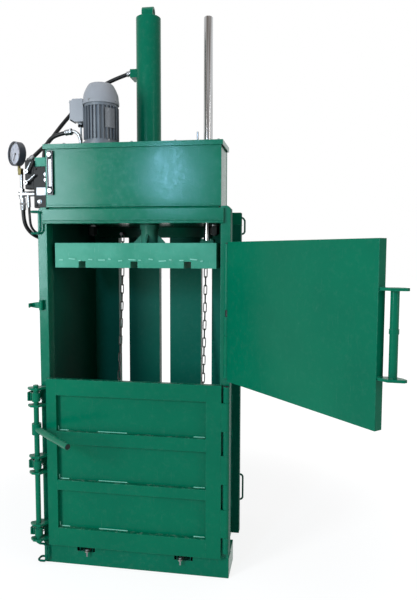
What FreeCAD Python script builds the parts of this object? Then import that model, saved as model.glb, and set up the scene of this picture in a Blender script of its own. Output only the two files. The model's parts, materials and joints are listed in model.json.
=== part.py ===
"""Recycling baler: an upright hydraulic press for waste paper, with a swung-open loading door.

Millimetres, +Z up. The origin is the middle of the base's footprint on the floor; X runs to the
right of someone standing at the doors, Y runs to the back. Every depth is written from the front
face of the posts and moved into place by dep().
"""
import FreeCAD, Part
import math
import os

V = FreeCAD.Vector

# ---- driving dimensions: body ----
BODY_W = 900.0            # across the outer faces of the front posts
BODY_D = 680.0            # front face of the posts to the back of the frame
POST_TOP = 1702.0         # top of the front posts
POST_W = 45.0             # front post, across
POST_D = 60.0             # front post, front to back
POST_WALL = 4.0
POST_CHAMFER = 14.0       # cut outer corner on top of each post
BASE_H = 100.0            # top of the sill and of the chamber floor
SILL_D = 170.0            # depth of the folded sill
SILL_T = 5.0
SHEET_T = 5.0             # side and rear sheets
REAR_D = 50.0             # depth of the folded strips of the rear wall
SIDE_DROP = 62.0          # posts stand above the side sheets, the height of the top tubes
REAR_TUBE_H = 60.0        # member over the rear wall
SLOT_PITCH = 238.0        # strap slots, also floor grooves and chains
SLOT_W = 60.0
SLOT_SIDES = (-1, 0, 1)
STIFF_BACK = 150.0        # side stiffener to the rear wall
STIFF_W = 45.0
FLOOR_T = 8.0
GROOVE_D = 35.0           # depth of the floor grooves, to the top of their bottoms
GROOVE_T = 3.0
CROSS_Y = 315.0           # cross member under the floor, front edge
CROSS_D = 50.0
SILL_NOTCH_W = 88.0
SILL_NOTCH_Z = (67.0, 91.0)
TOP_PLATE_T = 5.0
BEAM_H = 65.0             # front beam over the doors
BEAM_DROP = 10.0          # its top below the posts' tops
BEAM_FACE_Y = -14.0
BEAM_LIP = 6.0
BEAM_OVER = 15.0          # it laps this far over each post
LONG_X = (65.0, 115.0)    # beams that carry the cylinder
TIE_IN = 82.0             # tie bolts, from the side sheets
TIE_R = 13.5
TIE_FLATS = 41.0
TIE_L = 58.0              # below the top plate

# ---- driving dimensions: platen and press cylinder ----
STROKE = 800.0
PLATEN_GAP = 22.5         # platen to the side sheets
PLATEN_FRONT = 33.0
PLATEN_REST = 162.0       # posts' tops to the platen's top at rest
PLATEN_H = 115.0
PLATEN_WALL = 8.0
PLATEN_TOP_T = 12.0
PLATEN_BACK = 18.0        # platen to the rear wall, also the chains' middle
GROOVE_PITCH = 250.0      # strap grooves under the platen
GROOVE_W = 33.0
GROOVE_H = 30.0
CHAIN_BAY_W = 60.0        # cut-outs at the platen's back, where the chains hang
CHAIN_BAY_D = 160.0       # their front edge, from the rear wall
CYL_Y = 310.0
CYL_OD = 121.0
CYL_BORE = 100.0
CYL_SINK = 52.0           # barrel's lower end below the posts' tops
CYL_CROWN = 15.0          # closed end
CYL_FLANGE = 200.0
CYL_FLANGE_T = 20.0
PORT_OVER = (40.0, 653.0)  # port blocks over the posts' tops
PORT_H = 40.0
EYE_R = 14.0
EYE_UP = 45.0
ROD_D = 56.0
PISTON_H = 60.0
PISTON_TOP_GAP = 15.0
GLAND_H = 65.0
SOCKET_OD = 84.0
SOCKET_H = 94.0
SOCKET_FLOOR = 20.0
GUIDE_IN = 41.5           # guide rod, from the tie bolt
GUIDE_D = 45.0
GUIDE_TOP = 2667.0
SLEEVE_R = 31.0
SLEEVE_H = 348.0          # over the posts' tops
CLAMP_DROP = 20.0
RUN_FIT = 0.05            # radial clearance of a sliding or turning fit
LOOSE = 0.3               # gap kept between parts that only pass each other

# ---- driving dimensions: strap chains ----
CHAIN_HOOK_DROP = 36.0    # first joint below the side sheets' tops
CHAIN_LOW = 79.0          # chain lying in its floor groove
ANCHOR_X = 226.0
CHAIN_FRONT = -30.0       # the chain ends behind this depth
LINK_IN = 48.0            # inside length of a link
LINK_WIRE = 6.0
LINK_W = 22.0             # over all
LINK_PLAY = 0.7           # between the wires of neighbouring links
LINK_PITCH = LINK_IN - LINK_PLAY + LINK_WIRE * (1 - math.cos(math.radians(30)))
HOOK_R = 4.0

# ---- driving dimensions: doors ----
HINGE_IN = 12.0           # hinge line, from the post's outer face
KNUCKLE_R = 15.0
PIN_D = 16.0
PIN_OVER = 4.0
DOOR_GAP = 1.0            # closed door to the posts
LOWER_DOOR_Z = (103.0, 907.0)
LOWER_DOOR_LAP = (8.0, 11.0)   # over the posts' inner faces, left and right
LOWER_DOOR_T = 28.0
STILES = (49.0, 69.0)     # left and right upright of the lower door
PANELS_Z = ((190.0, 376.0), (424.0, 600.0), (660.0, 831.0))
PANEL_T = 4.0
DOORS_GAP = 23.0          # between the two doors
UPPER_DOOR_DROP = 159.0   # posts' tops to the loading door's top
UPPER_DOOR_LAP = (14.0, 11.0)
UPPER_DOOR_T = 33.0
UPPER_OPEN = 131.6        # how far the loading door stands open
UPPER_SHEET = 4.0
LOWER_KNUCKLES = ((205.0, 336.0), (455.0, 587.0), (698.0, 828.0))
LOWER_FRAME_KNUCKLES = ((130.0, 204.0), (337.0, 454.0), (588.0, 697.0), (829.0, 900.0))
UPPER_KNUCKLES = ((71.0, 200.0), (401.0, 530.0))          # over the loading door's lower edge
UPPER_FRAME_KNUCKLES = ((10.0, 70.0), (201.0, 285.0), (316.0, 400.0), (531.0, 605.0))
HANDLE_UP = (175.0, 450.0)     # handle brackets over the door's lower edge
HANDLE_Y = -46.0
HANDLE_OUT = 28.0
HANDLE_R = 14.0
COLLAR_UP = (313.0, 329.0)

# ---- driving dimensions: door lock and catch ----
SHAFT_OUT = 4.0           # lock shaft, outside the post's face
SHAFT_Y = -46.0
SHAFT_R = 12.0
SHAFT_Z = (120.0, 880.0)
LOCK_Z = ((783.0, 864.0), (462.0, 540.0), (136.0, 211.0))
LUG_T = 10.0
CAM_R = 19.0
CAM_NOSE = 24.5           # shaft to the middle of the nose
CAM_TIP = 6.0
CAM_REST = 125.0          # direction of the noses with the lever as it stands
CAM_INSET = 20.0          # cams and keepers, from their lugs
KEEPER_OUT = 46.0         # keeper's outer face, from the post
KEEPER_T = 11.0           # thickness of its outer bar
KEEPER_FOOT = 12.0        # of the bars at the post
KEEPER_Y = (6.0, 34.0, 46.0)
KEEPER_LIP = 20.0
KEEPER_FRONT = -49.0
LIP_T = 9.0
LEVER_ANGLE = -41.3
LEVER_L = 325.0
LEVER_R = 15.5
LEVER_Z = 672.0
CATCH_IN = 16.0           # catch pivot, from the post's outer face
CATCH_Y = -14.0
CATCH_UP = (307.0, 335.0)      # over the loading door's lower edge
CATCH_PIN_R = 6.0
EAR_T = 8.0

# ---- driving dimensions: tank, motor, hydraulics ----
TANK_IN = 44.0            # tank's end, from the post's outer face
TANK_D = 195.0
TANK_H = 279.0
TANK_WALL = 4.0
LID_T = 5.0
LID_OVER = 9.0
LID_RIM = 16.0
GLASS_IN = (12.0, 40.0)   # level gauge, from the tank's end
GLASS_UP = (56.0, 255.0)
MOTOR_X = -172.0
MOTOR_Y = 100.0
MOTOR_R = 72.0
FIN_R = 82.0
FINS = 28
MOTOR_BODY_H = 190.0
MOTOR_H = 284.0           # over the lid
TERMINAL_UP = (113.0, 216.0)   # terminal box, over the lid
SHAFT_BORE = 12.0
BELL_R = 60.0
BELL_H = 86.0
COVER_R = 84.0
BREATHER_X = -90.0        # from the motor's axis
HOSE_D = 19.0
THIN_HOSE_D = 12.0
CABLE_D = 9.0
FERRULE_WALL = 3.0
VALVE_GAP = 93.0          # tank's end to the outer face of the inner valve block
LEVER_PIN_R = 4.0
LEVER_Y = 58.0
GAUGE_Y = 92.0
GAUGE_TURN = 34.0
GAUGE_R = 57.5
DIAL_R = 51.0
LOOP_BAR = 10.0
LOOP_OUT = 27.0           # front loops' outer legs, from the post
LOOP_FRONT = -18.0

# ---- places that follow from them ----
FRONT = -BODY_D / 2
HALF_W = BODY_W / 2
IN_X = HALF_W - POST_W                      # inner faces of posts and side sheets
OUT_X = IN_X + SHEET_T
CHAMBER_D = BODY_D - REAR_D                 # inner face of the rear wall
SIDE_TOP = POST_TOP - SIDE_DROP
SLOT_TOP = SIDE_TOP - REAR_TUBE_H
STIFF_Y = CHAMBER_D - STIFF_BACK - STIFF_W
BEAM_Z = (POST_TOP - BEAM_DROP - BEAM_H, POST_TOP - BEAM_DROP)
TIE_X = IN_X - TIE_IN
TIE_Y = STIFF_Y - POST_D
GROOVE_FLOOR = BASE_H - GROOVE_D
SLOTS_X = [side * SLOT_PITCH for side in SLOT_SIDES]
PLATEN_W = 2 * (IN_X - PLATEN_GAP)
PLATEN_Y = (PLATEN_FRONT, CHAMBER_D - PLATEN_BACK)
PLATEN_Z = (POST_TOP - PLATEN_REST - PLATEN_H, POST_TOP - PLATEN_REST)
CHAIN_BAY_Y = CHAMBER_D - CHAIN_BAY_D
CHAIN_Y = CHAMBER_D - PLATEN_BACK
CHAIN_TOP = SIDE_TOP - CHAIN_HOOK_DROP
CYL_Z0 = POST_TOP - CYL_SINK
CYL_INNER = CYL_Z0 + GLAND_H + STROKE + PISTON_H + 2 * PISTON_TOP_GAP
CYL_Z = (CYL_Z0, CYL_INNER + CYL_CROWN)
PORT_Z = (POST_TOP + PORT_OVER[0], POST_TOP + PORT_OVER[1])
GUIDE_X = TIE_X - GUIDE_IN
GUIDE_Y = STIFF_Y - 25
SLEEVE_TOP = POST_TOP + SLEEVE_H
HINGE_X = HALF_W - HINGE_IN
HINGE_Y = -(KNUCKLE_R + LOOSE)
LOWER_DOOR_X = (-IN_X - LOWER_DOOR_LAP[0], IN_X + LOWER_DOOR_LAP[1])
PANEL_X = (LOWER_DOOR_X[0] + STILES[0], LOWER_DOOR_X[1] - STILES[1])
UPPER_DOOR_X = (-IN_X - UPPER_DOOR_LAP[0], IN_X + UPPER_DOOR_LAP[1])
UPPER_DOOR_Z = (LOWER_DOOR_Z[1] + DOORS_GAP, POST_TOP - UPPER_DOOR_DROP)
HANDLE_X = UPPER_DOOR_X[0] - HANDLE_OUT
SHAFT_X = -HALF_W - SHAFT_OUT
CATCH_X = -HALF_W + CATCH_IN
TANK_X = HALF_W - TANK_IN
TANK_Y = (0.0, TANK_D)
TANK_Z = (POST_TOP, POST_TOP + TANK_H)
LID_TOP = TANK_Z[1] + LID_T
MOTOR_TOP = LID_TOP + MOTOR_H
VALVE_X = -TANK_X - VALVE_GAP               # between the two valve blocks
GAUGE_AT = (VALVE_X - 104.0, GAUGE_Y, POST_TOP + 263.0)
LEVERS = (((VALVE_X - 30.0, POST_TOP + 173.0), (VALVE_X - 8.0, POST_TOP + 216.0)),
          ((VALVE_X - 33.0, POST_TOP + 122.0), (VALVE_X + 13.0, POST_TOP + 158.0)))
nodes = {}


def dep(y):
    """Depth behind the posts' front face to the part's own Y."""
    return FRONT + y


def box(x0, x1, y0, y1, z0, z1):
    """A block between three pairs of faces, with y as depth."""
    return Part.makeBox(x1 - x0, y1 - y0, z1 - z0, V(x0, dep(y0), z0))


def rod(r, x, y, z0, z1):
    """An upright round bar."""
    return Part.makeCylinder(r, z1 - z0, V(x, dep(y), z0))


def bar(r, start, end):
    """A round bar between two points (x, depth, z)."""
    a = V(start[0], dep(start[1]), start[2])
    b = V(end[0], dep(end[1]), end[2])
    return Part.makeCylinder(r, (b - a).Length, a, b - a)


def ring(r_out, r_in, x, y, z0, z1):
    return rod(r_out, x, y, z0, z1).cut(rod(r_in, x, y, z0 - 1, z1 + 1))


def hexagon(flats, x, y, z0, z1):
    """An upright hexagonal prism, by its width across flats."""
    r = flats / math.sqrt(3)
    pts = [V(x + r * math.cos(math.radians(60 * k)), dep(y) + r * math.sin(math.radians(60 * k)), z0)
           for k in range(7)]
    return Part.Face(Part.makePolygon(pts)).extrude(V(0, 0, z1 - z0))


def prism(points, lift):
    """A flat outline of (x, depth, z) points pushed along lift."""
    pts = [V(x, dep(y), z) for x, y, z in points]
    return Part.Face(Part.makePolygon(pts + pts[:1])).extrude(V(*lift))


def plan_prism(outline, z0, z1):
    """An outline of (x, depth) points standing between two heights."""
    return prism([(x, y, z0) for x, y in outline], (0, 0, z1 - z0))


def turned_profile(profile):
    """A turned piece round the Z axis, from its (radius, z) outline."""
    pts = [V(r, 0, z) for r, z in profile]
    return Part.Face(Part.makePolygon(pts + pts[:1])).revolve(V(0, 0, 0), V(0, 0, 1), 360)


def revolve(profile, x, y):
    """A turned piece round the upright line at x and depth y."""
    return turned_profile(profile).translated(V(x, dep(y), 0))


def fuse(first, *others):
    return first.fuse(list(others)).removeSplitter() if others else first


def cut(shape, *tools):
    return shape.cut(list(tools)) if tools else shape


def mirror_x(shape):
    return shape.mirror(V(0, 0, 0), V(1, 0, 0))


def turned(shape, x, y, angle):
    """The shape turned about the upright line at x and depth y."""
    copy = shape.copy()
    copy.rotate(V(x, dep(y), 0), V(0, 0, 1), angle)
    return copy


def node(name, *shapes):
    """Names one piece, or one group of like pieces, for export."""
    nodes.setdefault(name, []).extend(solid for shape in shapes for solid in shape.Solids)


def mitred(line, sides, radius):
    """A bar with a many-sided section along a line of points, mitred where the line turns."""
    line = [V(p) for p in line]
    ways = [(q - p).normalize() for p, q in zip(line, line[1:])]
    side = ways[0].cross(V(0, 0, 1))
    if side.Length < 0.1:
        side = ways[0].cross(V(1, 0, 0))
    side.normalize()
    up = ways[0].cross(side)
    angles = [2 * math.pi * (k + 0.5) / sides for k in range(sides)]
    rings = [[line[0] + side * (radius * math.cos(a)) + up * (radius * math.sin(a)) for a in angles]]
    for k, way in enumerate(ways):
        last = k + 1 == len(ways)
        plane = way if last else way + ways[k + 1]
        at = line[k + 1]
        rings.append([v + way * ((at - v).dot(plane) / way.dot(plane)) for v in rings[-1]])
    faces = [Part.Face(Part.makePolygon(ends + ends[:1])) for ends in (rings[0], rings[-1])]
    return ring_solid(faces, list(zip(rings, rings[1:])))


def ring_solid(faces, pairs):
    """A solid from its end faces and the quads between pairs of section outlines."""
    for a, b in pairs:
        for m in range(len(a)):
            n = (m + 1) % len(a)
            faces.append(Part.Face(Part.makePolygon([a[m], a[n], b[n], b[m], a[m]])))
    solid = Part.Solid(Part.makeShell(faces))
    if solid.Volume < 0:
        solid.reverse()
    return solid


def stub(sides, r, start, end):
    """A short many-sided bar between two points (x, depth, z)."""
    return mitred([V(x, dep(y), z) for x, y, z in (start, end)], sides, r)


# ---- base and chamber ----
def base():
    """The folded sill in front, side and cross members, and the floor with its strap grooves."""
    sill = box(-HALF_W, HALF_W, 0, SILL_D, 0, BASE_H)
    sill = cut(sill, box(-HALF_W + SILL_T, HALF_W - SILL_T, SILL_T, SILL_D + 1, SILL_T, BASE_H - SILL_T))
    slots = []
    for x in SLOTS_X:
        half = SLOT_W / 2 + GROOVE_T
        slots.append(box(x - half, x + half, SILL_T, SILL_D + 1, GROOVE_FLOOR, BASE_H + 1))
        if x:
            half = SILL_NOTCH_W / 2
            slots.append(box(x - half, x + half, -1, SILL_T, SILL_NOTCH_Z[0], SILL_NOTCH_Z[1]))
    node("base_frame", cut(sill, *slots))

    member = box(OUT_X - POST_W, OUT_X, SILL_D, CHAMBER_D, 0, BASE_H)
    inner = box(OUT_X - POST_W + POST_WALL, OUT_X - POST_WALL, SILL_D - 1, CHAMBER_D + 1,
                POST_WALL, BASE_H - POST_WALL)
    member = cut(member, inner)
    node("base_frame", member, mirror_x(member))

    floor_x = OUT_X - POST_W
    groove_low = GROOVE_FLOOR - GROOVE_T
    cross = box(-floor_x, floor_x, CROSS_Y, CROSS_Y + CROSS_D, 0, groove_low)
    node("base_frame", cut(cross, box(-floor_x - 1, floor_x + 1, CROSS_Y + POST_WALL,
                                      CROSS_Y + CROSS_D - POST_WALL, POST_WALL, groove_low - POST_WALL)))
    edges = [-floor_x]
    for x in SLOTS_X:
        edges += [x - SLOT_W / 2 - GROOVE_T, x + SLOT_W / 2 + GROOVE_T]
    edges.append(floor_x)
    plates = [box(a, b, SILL_D, CHAMBER_D, BASE_H - FLOOR_T, BASE_H) for a, b in zip(edges[::2], edges[1::2])]
    channels = []
    for x in SLOTS_X:
        half = SLOT_W / 2
        outer = box(x - half - GROOVE_T, x + half + GROOVE_T, SILL_T, CHAMBER_D, groove_low, BASE_H)
        inner = box(x - half, x + half, SILL_T - 1, CHAMBER_D + 1, GROOVE_FLOOR, BASE_H + 1)
        channels.append(cut(outer, inner))
    node("chamber_floor", *plates, *channels)


def frame_posts():
    """Two closed front posts with a sloped outer top corner."""
    post = box(IN_X, HALF_W, 0, POST_D, BASE_H, POST_TOP)
    inner = box(IN_X + POST_WALL, HALF_W - POST_WALL, POST_WALL, POST_D - POST_WALL,
                BASE_H + POST_WALL, POST_TOP - POST_CHAMFER - POST_WALL)
    corner = prism([(HALF_W - POST_CHAMFER, -1, POST_TOP), (HALF_W + 1, -1, POST_TOP + 1),
                    (HALF_W, -1, POST_TOP - POST_CHAMFER)], (0, POST_D + 2, 0))
    post = cut(post, inner, corner)
    node("front_posts", post, mirror_x(post))


def side_walls():
    """Flat side sheets, the stiffeners outside them and the tube across their tops."""
    sheet = box(IN_X, OUT_X, POST_D, CHAMBER_D, BASE_H, SIDE_TOP)
    node("side_walls", sheet, mirror_x(sheet))
    stiff = box(OUT_X, HALF_W, STIFF_Y, STIFF_Y + STIFF_W, 0, SIDE_TOP)
    inner = box(OUT_X + POST_WALL, HALF_W - POST_WALL, STIFF_Y + POST_WALL,
                STIFF_Y + STIFF_W - POST_WALL, -1, SIDE_TOP - POST_WALL)
    stiff = cut(stiff, inner)
    node("side_walls", stiff, mirror_x(stiff))
    tube = box(-HALF_W, HALF_W, STIFF_Y, STIFF_Y + STIFF_W, SIDE_TOP, POST_TOP)
    inner = box(-HALF_W - 1, HALF_W + 1, STIFF_Y + POST_WALL, STIFF_Y + STIFF_W - POST_WALL,
                SIDE_TOP + POST_WALL, POST_TOP - POST_WALL)
    node("rear_crosshead", cut(tube, inner))


def rear_wall():
    """Four folded strips with the strap slots between them, and the members above and below."""
    low = GROOVE_FLOOR - GROOVE_T
    edges = [-OUT_X]
    for x in SLOTS_X:
        edges += [x - SLOT_W / 2, x + SLOT_W / 2]
    edges.append(OUT_X)
    strips = []
    for a, b in zip(edges[::2], edges[1::2]):
        strip = box(a, b, CHAMBER_D, BODY_D, low, SLOT_TOP)
        inner = box(a + SHEET_T, b - SHEET_T, CHAMBER_D + SHEET_T, BODY_D + 1, low - 1, SLOT_TOP + 1)
        strips.append(cut(strip, inner))
    node("rear_wall", *strips)
    base_tube = box(-OUT_X, OUT_X, CHAMBER_D, BODY_D, 0, low)
    base_tube = cut(base_tube, box(-OUT_X - 1, OUT_X + 1, CHAMBER_D + POST_WALL, BODY_D - POST_WALL,
                                   POST_WALL, low - POST_WALL))
    top_tube = box(-OUT_X, OUT_X, CHAMBER_D, BODY_D, SLOT_TOP, SIDE_TOP)
    top_tube = cut(top_tube, box(-OUT_X - 1, OUT_X + 1, CHAMBER_D + POST_WALL, BODY_D - POST_WALL,
                                 SLOT_TOP + POST_WALL, SIDE_TOP - POST_WALL))
    node("base_frame", base_tube)
    node("rear_crosshead", top_tube)


def crosshead():
    """Top plate, front beam and the two beams that carry the cylinder."""
    plate = box(-IN_X, IN_X, POST_D, CHAMBER_D, SIDE_TOP - TOP_PLATE_T, SIDE_TOP)
    holes = [rod(ROD_D / 2 + 4, 0, CYL_Y, SIDE_TOP - 10, SIDE_TOP + 10)]
    holes.append(rod(GUIDE_D / 2 + 4, GUIDE_X, GUIDE_Y, SIDE_TOP - 10, SIDE_TOP + 10))
    holes += [rod(TIE_R + LOOSE, side * TIE_X, TIE_Y, SIDE_TOP - 10, SIDE_TOP + 10) for side in (-1, 1)]
    node("cylinder_beams", cut(plate, *holes))

    lap = IN_X + BEAM_OVER
    web_y = POST_D - 15
    beam = box(-lap, lap, BEAM_FACE_Y, BEAM_FACE_Y + SHEET_T, *BEAM_Z)
    lip = box(-lap, lap, BEAM_FACE_Y - BEAM_LIP, BEAM_FACE_Y + SHEET_T, BEAM_Z[0], BEAM_Z[0] + SHEET_T)
    packing = box(-lap, lap, BEAM_FACE_Y, 0, BEAM_Z[0], BEAM_Z[0] + SHEET_T)
    flanges = [box(-IN_X, IN_X, BEAM_FACE_Y, web_y + SHEET_T, z, z + SHEET_T)
               for z in (BEAM_Z[0], BEAM_Z[1] - SHEET_T)]
    inner_web = box(-IN_X, IN_X, web_y, web_y + SHEET_T, *BEAM_Z)
    upper = box(-lap, lap, BEAM_FACE_Y, 0, BEAM_Z[1] - SHEET_T, BEAM_Z[1])
    node("front_beam", fuse(beam, lip, packing, upper, *flanges, inner_web))

    beams = []
    for side in (-1, 1):
        a, b = sorted((side * LONG_X[0], side * LONG_X[1]))
        outer = box(a, b, web_y + SHEET_T, STIFF_Y, SIDE_TOP, POST_TOP)
        inner = box(a + POST_WALL, b - POST_WALL, web_y, STIFF_Y + 1, SIDE_TOP + POST_WALL,
                    POST_TOP - POST_WALL)
        beams.append(cut(outer, inner))
    node("cylinder_beams", *beams)

    ties = []
    under = SIDE_TOP - TOP_PLATE_T
    for side in (-1, 1):
        x = side * TIE_X
        stud = rod(TIE_R, x, TIE_Y, SIDE_TOP - TIE_L, SIDE_TOP)
        head = hexagon(TIE_FLATS, x, TIE_Y, SIDE_TOP, SIDE_TOP + 19)
        nuts = hexagon(TIE_FLATS, x, TIE_Y, under - 47, under)
        ties.append(fuse(stud, head, nuts))
    node("frame_bolts", *ties)


def port_block(index):
    """One of the two port blocks on the barrel's left side."""
    deep = CYL_Y + (62 if index else 20)
    return box(-90, -40, CYL_Y - 20, deep, PORT_Z[index], PORT_Z[index] + PORT_H)


def press_cylinder():
    """Barrel with flange, gland, eye lug and ports; the rod and piston that move in it."""
    r_out = CYL_OD / 2
    r_in = CYL_BORE / 2
    barrel = rod(r_out, 0, CYL_Y, CYL_Z[0], CYL_Z[1] + 16)
    half = CYL_FLANGE / 2
    flange = box(-half, half, CYL_Y - half, CYL_Y + half, POST_TOP, POST_TOP + CYL_FLANGE_T)
    eye_z = CYL_Z[1] + EYE_UP
    lug = box(-28, 28, CYL_Y - 25, CYL_Y + 25, CYL_Z[1] + 10, eye_z)
    crown = bar(25, (-28, CYL_Y, eye_z), (28, CYL_Y, eye_z))
    top_block = box(-62, 0, CYL_Y + 40, CYL_Y + 64, CYL_Z[1] - 30, CYL_Z[1])
    barrel = fuse(barrel, flange, lug, crown, port_block(0), port_block(1), top_block)
    corners = [(sx * (half - 16), CYL_Y + sy * (half - 16)) for sx in (-1, 1) for sy in (-1, 1)]
    bolt_holes = [rod(9, x, y, POST_TOP - 1, POST_TOP + CYL_FLANGE_T + 1) for x, y in corners]
    barrel = cut(barrel, rod(r_in, 0, CYL_Y, CYL_Z[0] - 1, CYL_INNER), *bolt_holes,
                 bar(EYE_R, (-30, CYL_Y, eye_z), (30, CYL_Y, eye_z)))
    node("cylinder_barrel", barrel)
    node("steel_pipes", rod(7, -52, CYL_Y + 52, PORT_Z[1] + PORT_H, CYL_Z[1] - 30))
    seat = POST_TOP + CYL_FLANGE_T
    node("frame_bolts", *[fuse(hexagon(24, x, y, seat, seat + 10), hexagon(15, x, y, POST_TOP, seat))
                          for x, y in corners])

    node("cylinder_gland", ring(r_in, ROD_D / 2 + RUN_FIT, 0, CYL_Y, CYL_Z[0], CYL_Z[0] + GLAND_H))
    piston_top = CYL_INNER - PISTON_TOP_GAP
    piston_foot = piston_top - PISTON_H
    foot = PLATEN_Z[1] + SOCKET_FLOOR
    node("piston_rod", fuse(rod(ROD_D / 2, 0, CYL_Y, foot, piston_foot),
                            rod(r_in - RUN_FIT, 0, CYL_Y, piston_foot, piston_top)))


def platen():
    """The pressing plate: a welded box, grooved underneath for the straps, with rod socket and guide."""
    half = PLATEN_W / 2
    y0, y1 = PLATEN_Y
    z0, z1 = PLATEN_Z
    bays = []
    walls = []
    for x in (SLOTS_X[0], SLOTS_X[2]):
        wide = CHAIN_BAY_W / 2
        grown = wide + PLATEN_WALL
        bays.append(box(x - wide, x + wide, CHAIN_BAY_Y, y1 + 1, z0 - 1, z1 + 1))
        walls.append(box(x - grown, x + grown, CHAIN_BAY_Y - PLATEN_WALL, y1, z0, z1))
    body = box(-half, half, y0, y1, z0, z1)
    hollow = box(-half + PLATEN_WALL, half - PLATEN_WALL, y0 + PLATEN_WALL, y1 - PLATEN_WALL,
                 z0 + GROOVE_H + PLATEN_WALL, z1 - PLATEN_TOP_T)
    hollow = cut(hollow, *walls)
    vents = [box(-half - 1, -half + PLATEN_WALL + 1, y, y + 40, z0 + 55, z0 + 75)
             for y in (y0 + 87, CHAIN_BAY_Y + 10)]
    grooves = [box(side * GROOVE_PITCH - GROOVE_W / 2, side * GROOVE_PITCH + GROOVE_W / 2,
                   y0 - 1, y1 + 1, z0 - 1, z0 + GROOVE_H) for side in SLOT_SIDES]
    node("platen", cut(body, hollow, *bays, *grooves, *vents))

    r = SOCKET_OD / 2
    socket = revolve([(0, z1), (r, z1), (r, z1 + SOCKET_H - 22), (r + 6, z1 + SOCKET_H - 22),
                      (r + 6, z1 + SOCKET_H), (ROD_D / 2, z1 + SOCKET_H), (ROD_D / 2, z1 + SOCKET_FLOOR),
                      (0, z1 + SOCKET_FLOOR)], 0, CYL_Y)
    rib = prism([(r - 3, CYL_Y - 5, z1), (r + 38, CYL_Y - 5, z1), (r + 38, CYL_Y - 5, z1 + 8),
                 (r - 3, CYL_Y - 5, z1 + 50)], (0, 10, 0))
    ribs = [turned(rib, 0, CYL_Y, angle) for angle in (0, 90, 180, 270)]
    node("platen_socket", fuse(socket, *ribs))
    flange = box(GUIDE_X - 34, GUIDE_X + 34, GUIDE_Y - 34, GUIDE_Y + 34, z1, z1 + 18)
    flange = cut(flange, rod(GUIDE_D / 2, GUIDE_X, GUIDE_Y, z1 - 1, z1 + 19))
    heads = [hexagon(17, GUIDE_X + sx * 24, GUIDE_Y + sy * 24, z1 + 18, z1 + 26)
             for sx in (-1, 1) for sy in (-1, 1)]
    node("platen_socket", flange, *heads)


def guide():
    """The ground guide rod on the platen, its fixed sleeve and the sleeve's clamp handle."""
    r = GUIDE_D / 2
    node("guide_rod", revolve([(0, GUIDE_TOP), (0, PLATEN_Z[1]), (r, PLATEN_Z[1]), (r, GUIDE_TOP - 4),
                               (r - 4, GUIDE_TOP)], GUIDE_X, GUIDE_Y))
    foot = SIDE_TOP + 2
    bore = rod(r + RUN_FIT, GUIDE_X, GUIDE_Y, foot - 1, SLEEVE_TOP + 1)
    pad = box(GUIDE_X - 42, GUIDE_X + 42, GUIDE_Y, STIFF_Y, foot, POST_TOP)
    sleeve = cut(fuse(rod(SLEEVE_R, GUIDE_X, GUIDE_Y, foot, SLEEVE_TOP), pad), bore,
                 box(GUIDE_X - 60, GUIDE_X + 60, STIFF_Y, STIFF_Y + STIFF_W, foot - 1, POST_TOP))
    node("guide_sleeve", sleeve)
    z = SLEEVE_TOP - CLAMP_DROP
    x = GUIDE_X - SLEEVE_R
    line = [(x, z), (x - 17, z), (x - 23, z + 7), (x - 23, z + 78)]
    handle = mitred([V(a, dep(GUIDE_Y), b) for a, b in line], 8, 5)
    node("guide_clamp", cut(handle, rod(SLEEVE_R, GUIDE_X, GUIDE_Y, z - 20, SLEEVE_TOP)))


# ---- strap chains ----
def chain_path(side):
    """Joint points of one strap chain, from its hook down into the floor groove and out in front."""
    x0 = side * SLOT_PITCH
    x1 = side * ANCHOR_X
    drop = CHAIN_TOP - CHAIN_LOW
    # share of the depth in front of the hook, share of the drop
    sag = ((1, 1), (1, 0.866), (0.866, 0.466), (0.755, 0.243), (0.634, 0.091), (0.52, 0.0256))
    pts = [(x0, CHAIN_Y * far, CHAIN_LOW + drop * up) for far, up in sag]
    pts += [(x0, 0.392 * CHAIN_Y, CHAIN_LOW), (x0, 90, CHAIN_LOW), (x1, 20, CHAIN_LOW), (x1, -90, CHAIN_LOW)]
    pts = [V(*p) for p in pts]
    for _ in range(3):
        rounded = [pts[0]]
        for a, b in zip(pts, pts[1:]):
            rounded += [a * 0.75 + b * 0.25, a * 0.25 + b * 0.75]
        pts = rounded + [pts[-1]]
    joints = [pts[0]]
    for a, b in zip(pts, pts[1:]):
        while (b - joints[-1]).Length >= LINK_PITCH:
            lo, hi = 0.0, 1.0
            for _ in range(30):
                mid = (lo + hi) / 2
                if (a + (b - a) * mid - joints[-1]).Length < LINK_PITCH:
                    lo = mid
                else:
                    hi = mid
            joints.append(a + (b - a) * hi)
    held = [p for p in joints if p.y > CHAIN_FRONT]
    # an odd number of links leaves the last one flat, ready for its upright bolt
    return held if len(held) % 2 == 0 else held[:-1]


def link(start, end, sideways):
    """One chain link between two joint points, its width along sideways."""
    middle = (start + end) / 2
    along = (end - start).normalize()
    sideways = sideways.normalize()
    normal = along.cross(sideways)
    r = LINK_WIRE / 2
    wide = LINK_W / 2 - r
    long = LINK_IN / 2 + r
    line = [(wide, long - 4.7), (3.3, long), (-3.3, long), (-wide, long - 4.7),
            (-wide, 4.7 - long), (-3.3, -long), (3.3, -long), (wide, 4.7 - long)]
    rings = []
    for k, (u, v) in enumerate(line):
        pu, pv = line[k - 1]
        nu, nv = line[(k + 1) % len(line)]
        d1 = V(u - pu, v - pv, 0).normalize()
        d2 = V(nu - u, nv - v, 0).normalize()
        out = V(d1.y + d2.y, -d1.x - d2.x, 0).normalize()
        stretch = 1 / math.cos(d1.getAngle(d2) / 2)
        corner = []
        for step in range(6):
            angle = math.radians(60 * step + 30)
            p = V(u, v, 0) + out * (r * math.cos(angle) * stretch) + V(0, 0, r * math.sin(angle))
            corner.append(middle + sideways * p.x + along * p.y + normal * p.z)
        rings.append(corner)
    return ring_solid([], list(zip(rings, rings[1:] + rings[:1])))


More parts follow.
